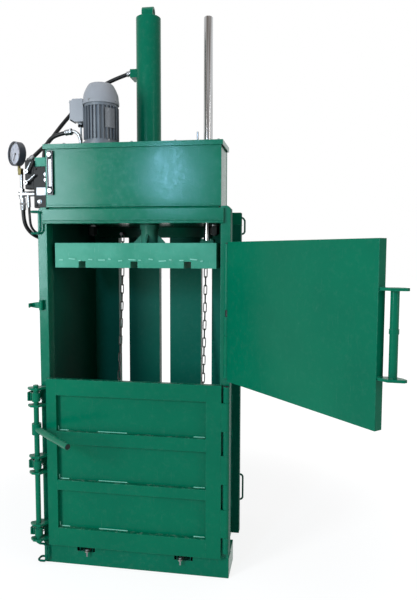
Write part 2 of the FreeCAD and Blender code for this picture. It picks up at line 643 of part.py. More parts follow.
def chains():
    """Two strap chains of welded links, each link turned a quarter from its neighbours."""
    seat = HOOK_R + LOOSE / 2
    for side in (-1, 1):
        joints = chain_path(side)
        for k, (a, b) in enumerate(zip(joints, joints[1:])):
            along = (b - a).normalize()
            across = V(1, 0, 0) - along * along.x
            if k % 2:
                across = along.cross(across)
            node("chains", link(a, b, across).translated(V(0, FRONT, 0)))
        top = joints[0]
        pin_z = top.z - seat
        head_y = CHAIN_Y - 22
        pin = stub(8, HOOK_R, (top.x, head_y, pin_z), (top.x, CHAMBER_D, pin_z))
        node("frame_bolts", fuse(pin, stub(8, 9, (top.x, head_y - 6, pin_z), (top.x, head_y, pin_z))))
        end = joints[-1]
        y = end.y + seat
        shank = stub(8, HOOK_R, (end.x, y, end.z - 24), (end.x, y, end.z + 10))
        node("frame_bolts", fuse(shank, hexagon(13, end.x, y, end.z + 5, end.z + 12)))
        print("chain of", len(joints) - 1, "links ends at depth", round(end.y))


# ---- hinges and doors ----
def raised(spans, z):
    """Spans of heights over z."""
    return [(z + a, z + b) for a, b in spans]


def frame_hinges():
    """Knuckles and pins fixed to the right-hand post."""
    for spans in (LOWER_FRAME_KNUCKLES, raised(UPPER_FRAME_KNUCKLES, UPPER_DOOR_Z[0])):
        for z0, z1 in spans:
            k = fuse(rod(KNUCKLE_R, HINGE_X, HINGE_Y, z0, z1), box(HINGE_X - 10, HINGE_X + 8, -8, 0, z0, z1))
            node("frame_knuckles", cut(k, rod(PIN_D / 2, HINGE_X, HINGE_Y, z0 - 1, z1 + 1)))
        node("hinge_pins", rod(PIN_D / 2, HINGE_X, HINGE_Y, spans[0][0] - PIN_OVER, spans[-1][1] + PIN_OVER))


def door_knuckles(heights, edge_x):
    """Knuckles with their straps, welded to a door's hinge edge."""
    knuckles = []
    for z0, z1 in heights:
        k = fuse(rod(KNUCKLE_R, HINGE_X, HINGE_Y, z0, z1),
                 box(edge_x, HINGE_X, HINGE_Y - KNUCKLE_R, HINGE_Y - KNUCKLE_R + 9, z0, z1))
        knuckles.append(cut(k, rod(PIN_D / 2 + RUN_FIT, HINGE_X, HINGE_Y, z0 - 1, z1 + 1)))
    return knuckles


def lower_door():
    """The bale door: an inner sheet under a frame of flat tubes that leaves three sunk panels."""
    x0, x1 = LOWER_DOOR_X
    z0, z1 = LOWER_DOOR_Z
    y0 = -DOOR_GAP - LOWER_DOOR_T
    y1 = -DOOR_GAP - PANEL_T
    node("lower_door_sheet", box(x0, x1, y1, -DOOR_GAP, z0, z1))
    frame = box(x0, x1, y0, y1, z0, z1)
    t = POST_WALL
    windows = [box(PANEL_X[0], PANEL_X[1], y0 - 1, y1 + 1, a, b) for a, b in PANELS_Z]
    tubes = [box(a + t, b - t, y0 + t, y1 - t, z0 - 1, z1 - t)
             for a, b in ((x0, PANEL_X[0]), (PANEL_X[1], x1))]
    edges = [z0] + [z for pair in PANELS_Z for z in pair] + [z1]
    for a, b in zip(edges[::2], edges[1::2]):
        tubes.append(box(PANEL_X[0] - t - 1, PANEL_X[1] + t + 1, y0 + t, y1 - t, a + t, b - t))
    node("lower_door_frame", cut(frame, *windows, *tubes))
    node("lower_door_fittings", *door_knuckles(LOWER_KNUCKLES, x1))


def upper_door():
    """The loading door: a flanged tray, its knuckles and a bar handle, all standing open."""
    x0, x1 = UPPER_DOOR_X
    z0, z1 = UPPER_DOOR_Z
    y0 = -DOOR_GAP - UPPER_DOOR_T
    y1 = -DOOR_GAP
    t = UPPER_SHEET
    tray = box(x0, x1, y0, y1, z0, z1)
    tray = cut(tray, box(x0 + t, x1 - t, y0 - 1, y1 - t, z0 + t, z1 - t))

    heights = (z0 + HANDLE_UP[0], z0 + HANDLE_UP[1])
    plates = []
    for z, lift in zip(heights, (-10, 10)):
        outline = [(x0, -6), (x0 - 40, -8), (x0 - 76, -44), (x0 - 76, -56), (x0 - 56, -63), (x0 - 20, -60),
                   (x0, y0 + 1)]
        plates.append(plan_prism(outline, min(z, z + lift), max(z, z + lift)))
    grip = rod(HANDLE_R, HANDLE_X, HANDLE_Y, *heights)
    collar = rod(HANDLE_R + 2, HANDLE_X, HANDLE_Y, z0 + COLLAR_UP[0], z0 + COLLAR_UP[1])
    knuckles = door_knuckles(raised(UPPER_KNUCKLES, z0), x1)
    for name, shapes in (("upper_door", [tray]), ("upper_door_fittings", knuckles + plates),
                         ("handle_bar", [fuse(grip, collar)])):
        node(name, *[turned(shape, HINGE_X, HINGE_Y, UPPER_OPEN) for shape in shapes])


def door_lock():
    """Lugs on the door, the shaft with cams and lever, and the keepers of flat bar on the left post."""
    edge = LOWER_DOOR_X[0]
    front = -DOOR_GAP - LOWER_DOOR_T
    outer = -HALF_W - KEEPER_OUT
    inner = outer + KEEPER_T
    node("lock_shaft", rod(SHAFT_R, SHAFT_X, SHAFT_Y, *SHAFT_Z))
    tip = outer + KEEPER_LIP
    lip_back = KEEPER_FRONT + LIP_T
    foot = -HALF_W - KEEPER_FOOT
    near, bridge, far = KEEPER_Y
    keeper = [(foot, -HALF_W, near, far), (outer, foot, bridge, far), (outer, inner, KEEPER_FRONT, bridge),
              (inner, tip, KEEPER_FRONT, lip_back)]
    lug = [(edge, -2), (-HALF_W + 10, -2), (outer + 2, -38), (outer + 2, -48), (SHAFT_X - 18, -68),
           (SHAFT_X + 18, -68), (edge, front)]
    for z0, z1 in LOCK_Z:
        for z in (z0 - LUG_T / 2, z1 - LUG_T / 2):
            bore = rod(SHAFT_R + RUN_FIT, SHAFT_X, SHAFT_Y, z - 1, z + LUG_T + 1)
            node("lower_door_fittings", cut(plan_prism(lug, z, z + LUG_T), bore))
        a, b = z0 + CAM_INSET, z1 - CAM_INSET
        nose = fuse(rod(CAM_TIP, SHAFT_X + CAM_NOSE, SHAFT_Y, a, b),
                    box(SHAFT_X, SHAFT_X + CAM_NOSE, SHAFT_Y - CAM_TIP, SHAFT_Y + CAM_TIP, a, b))
        nose = cut(nose, rod(CAM_R, SHAFT_X, SHAFT_Y, a - 1, b + 1))
        node("lock_shaft", ring(CAM_R, SHAFT_R, SHAFT_X, SHAFT_Y, a, b),
             turned(nose, SHAFT_X, SHAFT_Y, CAM_REST))
        node("lock_keepers", *[box(*bar_plan, a, b) for bar_plan in keeper])
    bore = rod(SHAFT_R, SHAFT_X, SHAFT_Y, LEVER_Z - 27, LEVER_Z + 27)
    hub = rod(SHAFT_R + 10, SHAFT_X, SHAFT_Y, LEVER_Z - 26, LEVER_Z + 26)
    lever = bar(LEVER_R, (SHAFT_X + 18, SHAFT_Y, LEVER_Z), (SHAFT_X + LEVER_L, SHAFT_Y, LEVER_Z))
    node("lock_lever", turned(cut(fuse(hub, lever), bore), SHAFT_X, SHAFT_Y, LEVER_ANGLE))


def door_catch():
    """A swinging hook on the left post that goes round the loading door's handle bar."""
    z0, z1 = (UPPER_DOOR_Z[0] + up for up in CATCH_UP)
    mouth = math.hypot(HANDLE_X - CATCH_X, HANDLE_Y - CATCH_Y) + HANDLE_R + 1
    arm = box(CATCH_X - mouth - 3, CATCH_X, CATCH_Y - 6, CATCH_Y + 6, z0, z1)
    outline = []
    for r, angles in ((mouth + 7.5, (176, 190, 204, 218)), (mouth, (217, 204, 190, 176))):
        for angle in angles:
            a = math.radians(angle)
            outline.append((CATCH_X + r * math.cos(a), CATCH_Y + r * math.sin(a)))
    hook = plan_prism(outline, z0, z1)
    taper = [prism([(CATCH_X - 20, CATCH_Y - 60, z), (CATCH_X - 70, CATCH_Y - 60, z),
                    (CATCH_X - 70, CATCH_Y - 60, z + lift)], (0, 100, 0))
             for z, lift in ((z0, 8), (z1, -8))]
    shape = fuse(rod(10, CATCH_X, CATCH_Y, z0, z1), arm, hook)
    node("door_catch", cut(shape, *taper, rod(CATCH_PIN_R + RUN_FIT, CATCH_X, CATCH_Y, z0 - 1, z1 + 1)))
    pin = rod(CATCH_PIN_R, CATCH_X, CATCH_Y, z0 - 1 - EAR_T, z1 + 1 + EAR_T)
    for a, b in ((z0 - 1 - EAR_T, z0 - 1), (z1 + 1, z1 + 1 + EAR_T)):
        ear = fuse(rod(10, CATCH_X, CATCH_Y, a, b), box(CATCH_X - 10, CATCH_X + 10, CATCH_Y, 0, a, b))
        node("frame_knuckles", cut(ear, pin))
    node("hinge_pins", pin)


# ---- tank, motor and pump ----
def tank():
    """The oil tank over the doors, its lid, level gauge and breather."""
    y0, y1 = TANK_Y
    z0, z1 = TANK_Z
    t = TANK_WALL
    shell = box(-TANK_X, TANK_X, y0, y1, z0, z1)
    node("tank", cut(shell, box(-TANK_X + t, TANK_X - t, y0 + t, y1 - t, z0 + t, z1 + 1)))
    over = LID_OVER
    lid = box(-TANK_X - over, TANK_X + over, y0 - over, y1 + over, z1 - LID_RIM, LID_TOP)
    inside = over - 4
    lid = cut(lid, box(-TANK_X - inside, TANK_X + inside, y0 - inside, y1 + inside, z1 - LID_RIM - 1, z1),
              rod(BELL_R, MOTOR_X, MOTOR_Y, z1 - 1, LID_TOP + 1))
    node("tank_lid", lid)
    gx0, gx1 = (-TANK_X + d for d in GLASS_IN)
    gz0, gz1 = (z0 + d for d in GLASS_UP)
    frame = box(gx0, gx1, y0 - 12, y0, gz0, gz1)
    node("level_frame", cut(frame, box(gx0 + 7, gx1 - 7, y0 - 13, y0 - 5, gz0 + 38, gz1 - 38)))
    node("level_glass", box(gx0 + 7, gx1 - 7, y0 - 10, y0 - 5, gz0 + 38, gz1 - 38))
    x = (gx0 + gx1) / 2
    node("frame_bolts", *[stub(6, 9, (x, y0 - 20, z), (x, y0 - 12, z)) for z in (gz0 + 18, gz1 - 18)])
    top = LID_TOP
    breather = [(0, top), (17, top), (17, top + 6), (12, top + 8), (12, top + 14), (22, top + 16),
                (22, top + 36), (18, top + 40), (0, top + 40)]
    node("tank_lid", revolve(breather, MOTOR_X + BREATHER_X, TANK_Y[1] - 30))


def motor():
    """Upright finned motor on the lid, driving the pump that hangs in the tank."""
    top = LID_TOP
    x, y = MOTOR_X, MOTOR_Y
    bore = SHAFT_BORE + RUN_FIT
    low = top - BELL_H
    inner = BELL_R - 8
    bell = revolve([(20, low - 6), (BELL_R, low - 6), (BELL_R, top), (COVER_R + 4, top),
                    (COVER_R + 4, top + 6), (inner, top + 6), (inner, low), (20, low)], x, y)
    node("pump", bell)
    z0 = top + 6
    z1 = z0 + MOTOR_BODY_H - 20
    shell = revolve([(40.5, z0 + 10), (40.5, z1), (MOTOR_R, z1), (MOTOR_R, z0 + 12), (COVER_R, z0 + 12),
                     (COVER_R, z0), (bore, z0), (bore, z0 + 10)], x, y)
    fins = []
    for k in range(FINS):
        angle = 360 / FINS * k
        if 150 < (angle + 10) % 360 < 215:
            continue
        fin = box(x + MOTOR_R - 2, x + FIN_R, y - 1.5, y + 1.5, z0 + 22, z1)
        fins.append(turned(fin, x, y, angle))
    shield = revolve([(bore, z1), (78, z1), (78, z1 + 12), (bore, z1 + 12)], x, y)
    node("motor_body", fuse(shell, *fins), shield)
    c0 = z1 + 12
    shoulder = MOTOR_TOP - 4
    cover = revolve([(76, c0), (COVER_R, c0), (COVER_R, c0 + 34), (77, shoulder), (60, MOTOR_TOP),
                     (0, MOTOR_TOP), (0, MOTOR_TOP - 3), (58, MOTOR_TOP - 3), (74, shoulder - 1),
                     (81, c0 + 34), (81, c0 + 3), (76, c0 + 3)], x, y)
    holes = [hexagon(15, x + 38 * math.cos(a), y + 38 * math.sin(a), MOTOR_TOP - 5, MOTOR_TOP + 1)
             for a in [math.pi / 4 * k for k in range(8)]]
    node("fan_cover", cut(cover, *holes))
    hub = rod(18, x, y, c0 + 20, c0 + 46)
    blades = [turned(box(x + 12, x + 64, y - 1.5, y + 1.5, c0 + 20, c0 + 46), x, y, 60 * k) for k in range(6)]
    node("motor_fan", cut(fuse(hub, *blades), rod(SHAFT_BORE, x, y, c0, c0 + 60)))
    shaft = rod(SHAFT_BORE, x, y, low - 38, c0 + 50)
    core = rod(40, x, y, z0 + 16, z1 - 6)
    coupling = revolve([(SHAFT_BORE, top - 74), (28, top - 74), (28, top - 14), (SHAFT_BORE, top - 14)], x, y)
    node("motor_rotor", fuse(shaft, core), coupling)
    pump = fuse(box(x - 45, x + 45, y - 40, y + 40, low - 100, low - 6), rod(20, x, y, low - 6, low))
    node("pump", cut(pump, rod(bore, x, y, low - 40, top)))
    node("pump", hexagon(60, x, y, low - 168, low - 100))
    bx0, bx1 = x - 137.0, x - 62.0
    tz0, tz1 = (top + up for up in TERMINAL_UP)
    outline = [(bx0, y - 38, tz0 + 12), (bx0, y - 38, tz1 - 14), (bx0 + 12, y - 38, tz1), (bx1, y - 38, tz1),
               (bx1, y - 38, tz0), (bx0 + 18, y - 38, tz0)]
    terminal = cut(prism(outline, (0, 76, 0)), rod(FIN_R + 0.5, x, y, tz0 - 1, c0),
                   rod(COVER_R + 0.5, x, y, c0, tz1 + 1))
    pad = cut(box(x - COVER_R, x - 62, y - 26, y + 26, tz0 + 8, z1 - 6), rod(MOTOR_R, x, y, tz0, z1))
    gland = fuse(hexagon(24, x - 100, y, tz0 - 10, tz0),
                 stub(12, 8, (x - 100, y, tz0 - 20), (x - 100, y, tz0 - 10)))
    collar = stub(12, 9, (x - 97, y, top), (x - 97, y, top + 8))
    node("terminal_box", fuse(terminal, pad), gland, collar)


# ---- hydraulics at the tank's left ----
def pipe(name, points, diameter, sides=12, step=12):
    """A bent tube or hose: straight runs joined by tangent arcs through (x, depth, z) points."""
    pts = [V(x, dep(y), z) for x, y, z in points]
    line = [pts[0]]
    last = pts[0]
    radii = []
    length = 0.0
    for before, point, after in zip(pts, pts[1:], pts[2:]):
        come = (point - before).normalize()
        leave = (after - point).normalize()
        turn = come.getAngle(leave)
        back = 0.45 * min((point - before).Length, (after - point).Length)
        radius = back / math.tan(turn / 2)
        radii.append(radius)
        centre = point + (leave - come).normalize() * (radius / math.cos(turn / 2))
        length += (point - come * back - last).Length + radius * turn
        steps = max(1, math.ceil(math.degrees(turn) / step))
        out = (point - come * back - centre).normalize()
        # corners of the faceted arc stand just outside it, so that its runs are tangent to it
        outer = radius / math.cos(turn / steps / 2)
        for k in range(steps):
            angle = turn * (k + 0.5) / steps
            line.append(centre + out * (outer * math.cos(angle)) + come * (outer * math.sin(angle)))
        last = point + leave * back
    length += (pts[-1] - last).Length
    line.append(pts[-1])
    # the section's corners stand out a little, so that its area is the round tube's
    grown = diameter / 2 * math.sqrt(2 * math.pi / (sides * math.sin(2 * math.pi / sides)))
    solid = mitred(line, sides, grown)
    expected = math.pi * diameter ** 2 / 4 * length
    print(name, "length", round(length), "radii", [round(r) for r in radii],
          "volume ratio", round(solid.Volume / expected, 4))
    return solid


def beyond(end, before, length):
    """The point (x, depth, z) that lies past end, straight on from the point before it."""
    tip = V(*end) + (V(*end) - V(*before)).normalize() * length
    return (tip.x, tip.y, tip.z)


def ferrule(end, before, radius, length):
    """The round fitting that carries on from a hose end, away from the point before it."""
    return stub(12, radius, end, beyond(end, before, length))


def bend_points(start, toward, steps, z0):
    """Points (x, depth, z) of a hanging bend: (angle from straight down, run) steps in one plane."""
    dx, dy = toward
    scale = math.hypot(dx, dy)
    s, z = 0.0, z0
    pts = [(start[0], start[1], z0)]
    for angle, run in steps:
        s += run * math.sin(math.radians(angle))
        z -= run * math.cos(math.radians(angle))
        pts.append((round(start[0] + s * dx / scale, 1), round(start[1] + s * dy / scale, 1), round(z, 1)))
    return pts


COLUMN_X = VALVE_X - 74.0                   # pipe column left of the valve blocks
PRESS_STEPS = [(0, 55), (30, 57), (60, 57), (90, 57), (120, 57), (150, 57), (180, 57)]
PRESS_BEND = bend_points((COLUMN_X + 3, 100), (0.594, 0.804), PRESS_STEPS, POST_TOP - 3)
DRAIN_STEPS = [(2, 50), (6, 45), (40, 37), (74, 37), (109, 37), (145, 37), (180, 48)]
DRAIN_BEND = bend_points((VALVE_X - 41, 100), (100, 72), DRAIN_STEPS, POST_TOP + 10)
PORT_LOW_Z = PORT_Z[0] + 22
HOSES = {
    "hose_lift": (HOSE_D, [(-112, CYL_Y, PORT_Z[1] + 20), (-235, CYL_Y - 10, PORT_Z[1] - 20),
                           (-350, CYL_Y - 35, PORT_Z[1] - 127), (-430, CYL_Y - 72, PORT_Z[1] - 233),
                           (VALVE_X + 31, 185, LID_TOP + 50), (VALVE_X + 1, 130, LID_TOP - 6),
                           (VALVE_X - 17, 106, LID_TOP - 36)]),
    "hose_tank": (HOSE_D, [(MOTOR_X - 160, 60, LID_TOP + 62), (MOTOR_X - 220, 66, LID_TOP + 54),
                           (VALVE_X + 59, 88, LID_TOP + 19), (VALVE_X + 37, 104, LID_TOP - 24),
                           (VALVE_X + 36, 110, LID_TOP - 68)]),
    "hose_press": (HOSE_D, [*PRESS_BEND, (-415.4, 274.3, PORT_LOW_Z - 16), (-366.7, 280, PORT_LOW_Z + 12),
                            (-277.5, 291, PORT_LOW_Z + 20), (-190, 302, PORT_LOW_Z + 15),
                            (-112, CYL_Y, PORT_LOW_Z)]),
    "hose_drain": (THIN_HOSE_D, DRAIN_BEND),
    "motor_cable": (CABLE_D, [(MOTOR_X - 100, MOTOR_Y, LID_TOP + 93), (MOTOR_X - 100, MOTOR_Y, LID_TOP + 64),
                              (MOTOR_X - 97, MOTOR_Y, LID_TOP + 36), (MOTOR_X - 97, MOTOR_Y, LID_TOP + 8)]),
}


def valve_shape():
    """The two joined valve blocks."""
    left = box(VALVE_X - 46, VALVE_X, 75, 130, POST_TOP + 93, POST_TOP + 229)
    right = box(VALVE_X, -TANK_X - 6, 70, 135, POST_TOP + 4, POST_TOP + 198)
    return fuse(left, right)


def column_foot():
    """The fitting at the foot of the pipe column, where the press hose starts."""
    return ferrule(PRESS_BEND[0], PRESS_BEND[1], HOSE_D / 2 + FERRULE_WALL, 57)


def hoses():
    """The soft hoses and the motor's cable, with the fittings that end them."""
    for name, (diameter, points) in HOSES.items():
        node(name, pipe(name, points, diameter))
    r = HOSE_D / 2 + FERRULE_WALL
    body = valve_shape()
    lift = HOSES["hose_lift"][1]
    press = HOSES["hose_press"][1]
    tank_line = HOSES["hose_tank"][1]
    drain = HOSES["hose_drain"][1]
    cross_z = POST_TOP + 73
    end = drain[-1]
    elbow = box(end[0] - 11, end[0] + 11, end[1] - 11, end[1] + 11, end[2] + 24, end[2] + 46)
    out = stub(8, 8, (end[0] + 11, end[1], end[2] + 35), (-TANK_X, end[1], end[2] + 35))
    cross = stub(12, 13, (VALVE_X - 100, 100, cross_z), (VALVE_X + 9, 100, cross_z))
    node("hose_fittings",
         ferrule(lift[0], lift[1], r, 28).cut(port_block(1)),
         ferrule(lift[-1], lift[-2], r, 34).cut(body),
         column_foot(),
         ferrule(press[-1], press[-2], r, 28).cut(port_block(0)),
         ferrule(tank_line[-1], tank_line[-2], r, 30).cut(body),
         ferrule(tank_line[0], tank_line[1], r, 32),
         ferrule(drain[0], drain[1], 9, 64).cut(cross),
         fuse(stub(12, 9, end, (end[0], end[1], end[2] + 24)), elbow, out))
    x = MOTOR_X - 87
    bend = [beyond(tank_line[0], tank_line[1], 32), beyond(tank_line[0], tank_line[1], 45),
            (x - 8, 57, LID_TOP + 54), (x, 60, LID_TOP + 29), (x, 60, LID_TOP)]
    node("steel_pipes", pipe("lid_tube", bend, 14, 12, 20))


def facing_gauge(shape):
    """Stands a piece made round +Z up, so that it faces forward and to the left."""
    copy = shape.copy()
    copy.rotate(V(0, 0, 0), V(1, 0, 0), 90)
    copy.rotate(V(0, 0, 0), V(0, 0, 1), -GAUGE_TURN)
    return copy.translated(V(GAUGE_AT[0], dep(GAUGE_AT[1]), GAUGE_AT[2]))


def valves():
    """Valve block on its bracket, two hand levers, the pipe column and the pressure gauge."""
    body = valve_shape()
    node("valve_block", body)
    foot = box(-TANK_X - 6, -TANK_X, 60, 145, POST_TOP - 2, POST_TOP + 248)
    shelf = box(VALVE_X, -TANK_X - 6, 86, 92, POST_TOP + 198, POST_TOP + 242)
    node("valve_bracket", fuse(foot, shelf))
    for k, (a, b) in enumerate(LEVERS):
        node("hinge_pins", bar(LEVER_PIN_R, (a[0], LEVER_Y - 8, a[1]), (a[0], 75, a[1])))
        hub = bar(9, (a[0], LEVER_Y - 6, a[1]), (a[0], LEVER_Y + 6, a[1]))
        handle = bar(4.5, (a[0], LEVER_Y, a[1]), (b[0], LEVER_Y, b[1]))
        bore = bar(LEVER_PIN_R + RUN_FIT, (a[0], LEVER_Y - 9, a[1]), (a[0], 80, a[1]))
        node(f"valve_lever_{k + 1}", cut(fuse(hub, handle), bore))

    x = COLUMN_X - 2
    z = POST_TOP + 73
    column = fuse(stub(12, 8, (x, 100, z + 19), (x, 100, z + 91)), hexagon(24, x, 100, z + 11, z + 25),
                  stub(12, 13, (x - 13, 100, z), (VALVE_X, 100, z)),
                  stub(12, 13, (x, 100, z - 23), (x, 100, z + 11)))
    node("pipe_column", cut(column, body, column_foot()))
    brass = fuse(hexagon(24, x - 5, 101, z + 91, z + 121),
                 stub(12, 7, (x - 14, 104, z + 109), (x - 14, 104, z + 139)))
    bezel = 4.0
    case = facing_gauge(turned_profile([(0, -30), (54, -30), (GAUGE_R, -26), (GAUGE_R, bezel),
                                        (DIAL_R, bezel), (DIAL_R, -6), (0, -6)]))
    pivot = 1.5
    hole = turned_profile([(0, -12), (pivot + RUN_FIT, -12), (pivot + RUN_FIT, 0), (0, 0)])
    node("gauge_case", cut(case, facing_gauge(hole)))
    node("gauge_stem", cut(brass, case))
    node("gauge_dial", facing_gauge(turned_profile([(pivot + RUN_FIT, -6), (DIAL_R, -6), (DIAL_R, -5),
                                                    (pivot + RUN_FIT, -5)])))
    node("gauge_glass", facing_gauge(turned_profile([(0, 1), (DIAL_R, 1), (DIAL_R, 3), (0, 3)])))
    needle = turned_profile([(0, -11), (pivot, -11), (pivot, -4.5), (5, -4.5), (5, -2), (0, -2)])
    pointer = Part.makeBox(3, 42, 1.2, V(-1.5, -4, -3.6))
    pointer.rotate(V(0, 0, 0), V(0, 0, 1), 145)
    node("gauge_needle", facing_gauge(fuse(needle, pointer)))


def rod_loops():
    """Bent round-bar loops welded on at the corners, for tying and slinging."""
    loops = []
    leg = -HALF_W - LOOP_OUT
    for z0, z1 in ((POST_TOP - 119, POST_TOP - 20), (12.0, BASE_H - 2)):
        path = [(-HALF_W, 24, z1), (leg, 24, z1), (leg, LOOP_FRONT, z1), (-HALF_W + 22, LOOP_FRONT, z1),
                (-HALF_W + 22, LOOP_FRONT, z0), (leg, LOOP_FRONT, z0), (leg, 24, z0), (-HALF_W, 24, z0)]
        loops.append(pipe("front_loop", path, LOOP_BAR, 8, 30))
    back = CHAMBER_D + REAR_D / 2
    far = OUT_X + 37
    path = [(OUT_X, back, SIDE_TOP - 40), (far, back, SIDE_TOP - 40), (far, back, SIDE_TOP + 51),
            (OUT_X - 20, back, SIDE_TOP + 51), (OUT_X - 20, back, SIDE_TOP)]
    loops.append(pipe("rear_loop", path, LOOP_BAR, 8, 30))
    path = [(OUT_X, back, BASE_H - 8), (far, back, BASE_H - 8), (far, back, BASE_H + 138),
            (OUT_X, back, BASE_H + 138)]
    loops.append(pipe("rear_loop", path, LOOP_BAR, 8, 30))
    node("rod_loops", *loops)


base()
frame_posts()
side_walls()
rear_wall()
crosshead()
press_cylinder()
platen()
guide()
chains()
frame_hinges()
lower_door()
upper_door()
door_lock()
door_catch()
tank()
motor()
valves()
hoses()
rod_loops()

os.makedirs("parts", exist_ok=True)
for name, solids in nodes.items():
    shape = solids[0] if len(solids) == 1 else Part.makeCompound(solids)
    if not shape.isValid():
        print("INVALID", name)
    shape.exportStep("parts/" + name + ".step")
print(len(nodes), "nodes,", sum(len(solids) for solids in nodes.values()), "solids")
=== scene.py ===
import json
import math

import bmesh
import bpy
import numpy as np
from mathutils import Matrix, Vector


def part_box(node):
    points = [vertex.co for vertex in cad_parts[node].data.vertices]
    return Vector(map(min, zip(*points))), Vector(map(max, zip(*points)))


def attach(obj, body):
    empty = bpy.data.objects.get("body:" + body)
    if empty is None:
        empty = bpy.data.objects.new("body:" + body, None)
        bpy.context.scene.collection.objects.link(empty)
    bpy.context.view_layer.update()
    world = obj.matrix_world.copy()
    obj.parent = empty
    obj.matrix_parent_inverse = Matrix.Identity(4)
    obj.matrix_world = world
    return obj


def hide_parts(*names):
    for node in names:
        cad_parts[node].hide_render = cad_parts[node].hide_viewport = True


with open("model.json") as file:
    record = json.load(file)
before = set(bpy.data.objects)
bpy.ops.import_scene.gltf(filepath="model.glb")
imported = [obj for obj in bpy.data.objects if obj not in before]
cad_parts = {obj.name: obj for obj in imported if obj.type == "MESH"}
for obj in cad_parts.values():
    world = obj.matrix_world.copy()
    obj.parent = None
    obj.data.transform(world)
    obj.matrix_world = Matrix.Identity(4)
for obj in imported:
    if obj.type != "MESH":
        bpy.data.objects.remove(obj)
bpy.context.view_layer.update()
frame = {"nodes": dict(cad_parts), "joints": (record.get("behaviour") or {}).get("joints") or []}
parts = frame["nodes"]
joints = {joint["name"]: joint for joint in frame["joints"]}

# The camera stands where the photograph was taken from: to the right of the machine, at chest
# height, turned a little to the left and down.
CAMERA_AT = (0.7595, -2.8449, 1.4939)
TURNED_LEFT, TILTED_DOWN, ROLLED = 0.1611, 0.0816, 0.0031
camera_data = bpy.data.cameras.new("photo_camera")
camera_data.sensor_fit = "VERTICAL"
camera_data.sensor_height = 36
camera_data.lens = 34.31
camera = bpy.data.objects.new("photo_camera", camera_data)
bpy.context.collection.objects.link(camera)
camera.matrix_world = (Matrix.Translation(CAMERA_AT)
                       @ Matrix.Rotation(TURNED_LEFT, 4, "Z")
                       @ Matrix.Rotation(math.pi / 2 - TILTED_DOWN, 4, "X")
                       @ Matrix.Rotation(ROLLED, 4, "Z"))
bpy.context.scene.camera = camera


# The studio: a pale floor that keeps the machine's soft shadow and fades into a white surround.
# An upright soft box stands at the front left, a small bluish window is mirrored by the tank, and
# two weak panels light the right side and the top.
def colour(hex_value):
    """An sRGB hex value as linear red, green, blue and alpha."""
    channels = [int(hex_value[k:k + 2], 16) / 255 for k in (1, 3, 5)]
    return tuple(c / 12.92 if c <= 0.04045 else ((c + 0.055) / 1.055) ** 2.4 for c in channels) + (1,)


def add(tree, kind, settings, links=()):
    """A node with its settings, by input name, input number or property, and its links."""
    made = tree.nodes.new(kind)
    for name, value in settings.items():
        if isinstance(name, int) or name in made.inputs:
            made.inputs[name].default_value = value
        else:
            setattr(made, name, value)
    for name, source in dict(links).items():
        tree.links.new(source, made.inputs[name])
    return made


def blank(name):
    """A new material and its empty node tree."""
    material = bpy.data.materials.new(name)
    material.use_nodes = True
    material.node_tree.nodes.clear()
    return material, material.node_tree


def shown_rays(tree):
    """1 where the camera, a reflection or glass shows the surround, 0 where it only lights."""
    path = add(tree, "ShaderNodeLightPath", {})
    clear = add(tree, "ShaderNodeMath", {"operation": "MAXIMUM"},
                {0: path.outputs["Is Glossy Ray"], 1: path.outputs["Is Transmission Ray"]})
    return add(tree, "ShaderNodeMath", {"operation": "MAXIMUM"},
               {0: path.outputs["Is Camera Ray"], 1: clear.outputs[0]}).outputs[0]


world = bpy.data.worlds.new("white_studio")
bpy.context.scene.world = world
world.use_nodes = True
tree = world.node_tree
tree.nodes.clear()
# white where it shows, and a third as strong where it only lights the machine
level = add(tree, "ShaderNodeMapRange", {"To Min": 0.34, "To Max": 1.0}, {"Value": shown_rays(tree)})
background = add(tree, "ShaderNodeBackground", {"Color": (1, 1, 1, 1)}, {"Strength": level.outputs[0]})
add(tree, "ShaderNodeOutputWorld", {}, {"Surface": background.outputs[0]})

material, tree = blank("pale_floor")
where = add(tree, "ShaderNodeTexCoord", {})
away = add(tree, "ShaderNodeVectorMath", {"operation": "LENGTH"}, {0: where.outputs["Object"]})
# matt paint near the machine turns into glowing white between 0.9 and 2.3 m from it
share = add(tree, "ShaderNodeMapRange",
            {"interpolation_type": "SMOOTHSTEP", "From Min": 0.9, "From Max": 2.3,
             "To Min": 0.76, "To Max": 1.0}, {"Value": away.outputs["Value"]})
share = add(tree, "ShaderNodeMath", {"operation": "MULTIPLY"}, {0: share.outputs[0], 1: shown_rays(tree)})
paint = add(tree, "ShaderNodeBsdfDiffuse", {"Color": colour("#f4f4f4")})
glow = add(tree, "ShaderNodeEmission", {"Color": (1, 1, 1, 1), "Strength": 1.1})
mixed = add(tree, "ShaderNodeMixShader", {},
            {0: share.outputs[0], 1: paint.outputs[0], 2: glow.outputs[0]})
add(tree, "ShaderNodeOutputMaterial", {}, {"Surface": mixed.outputs[0]})
bpy.ops.object.select_all(action="DESELECT")
bpy.ops.mesh.primitive_plane_add(size=60, location=(0, 0, -0.0005))
floor = bpy.context.object
floor.name = "studio_floor"
floor.data.materials.append(material)

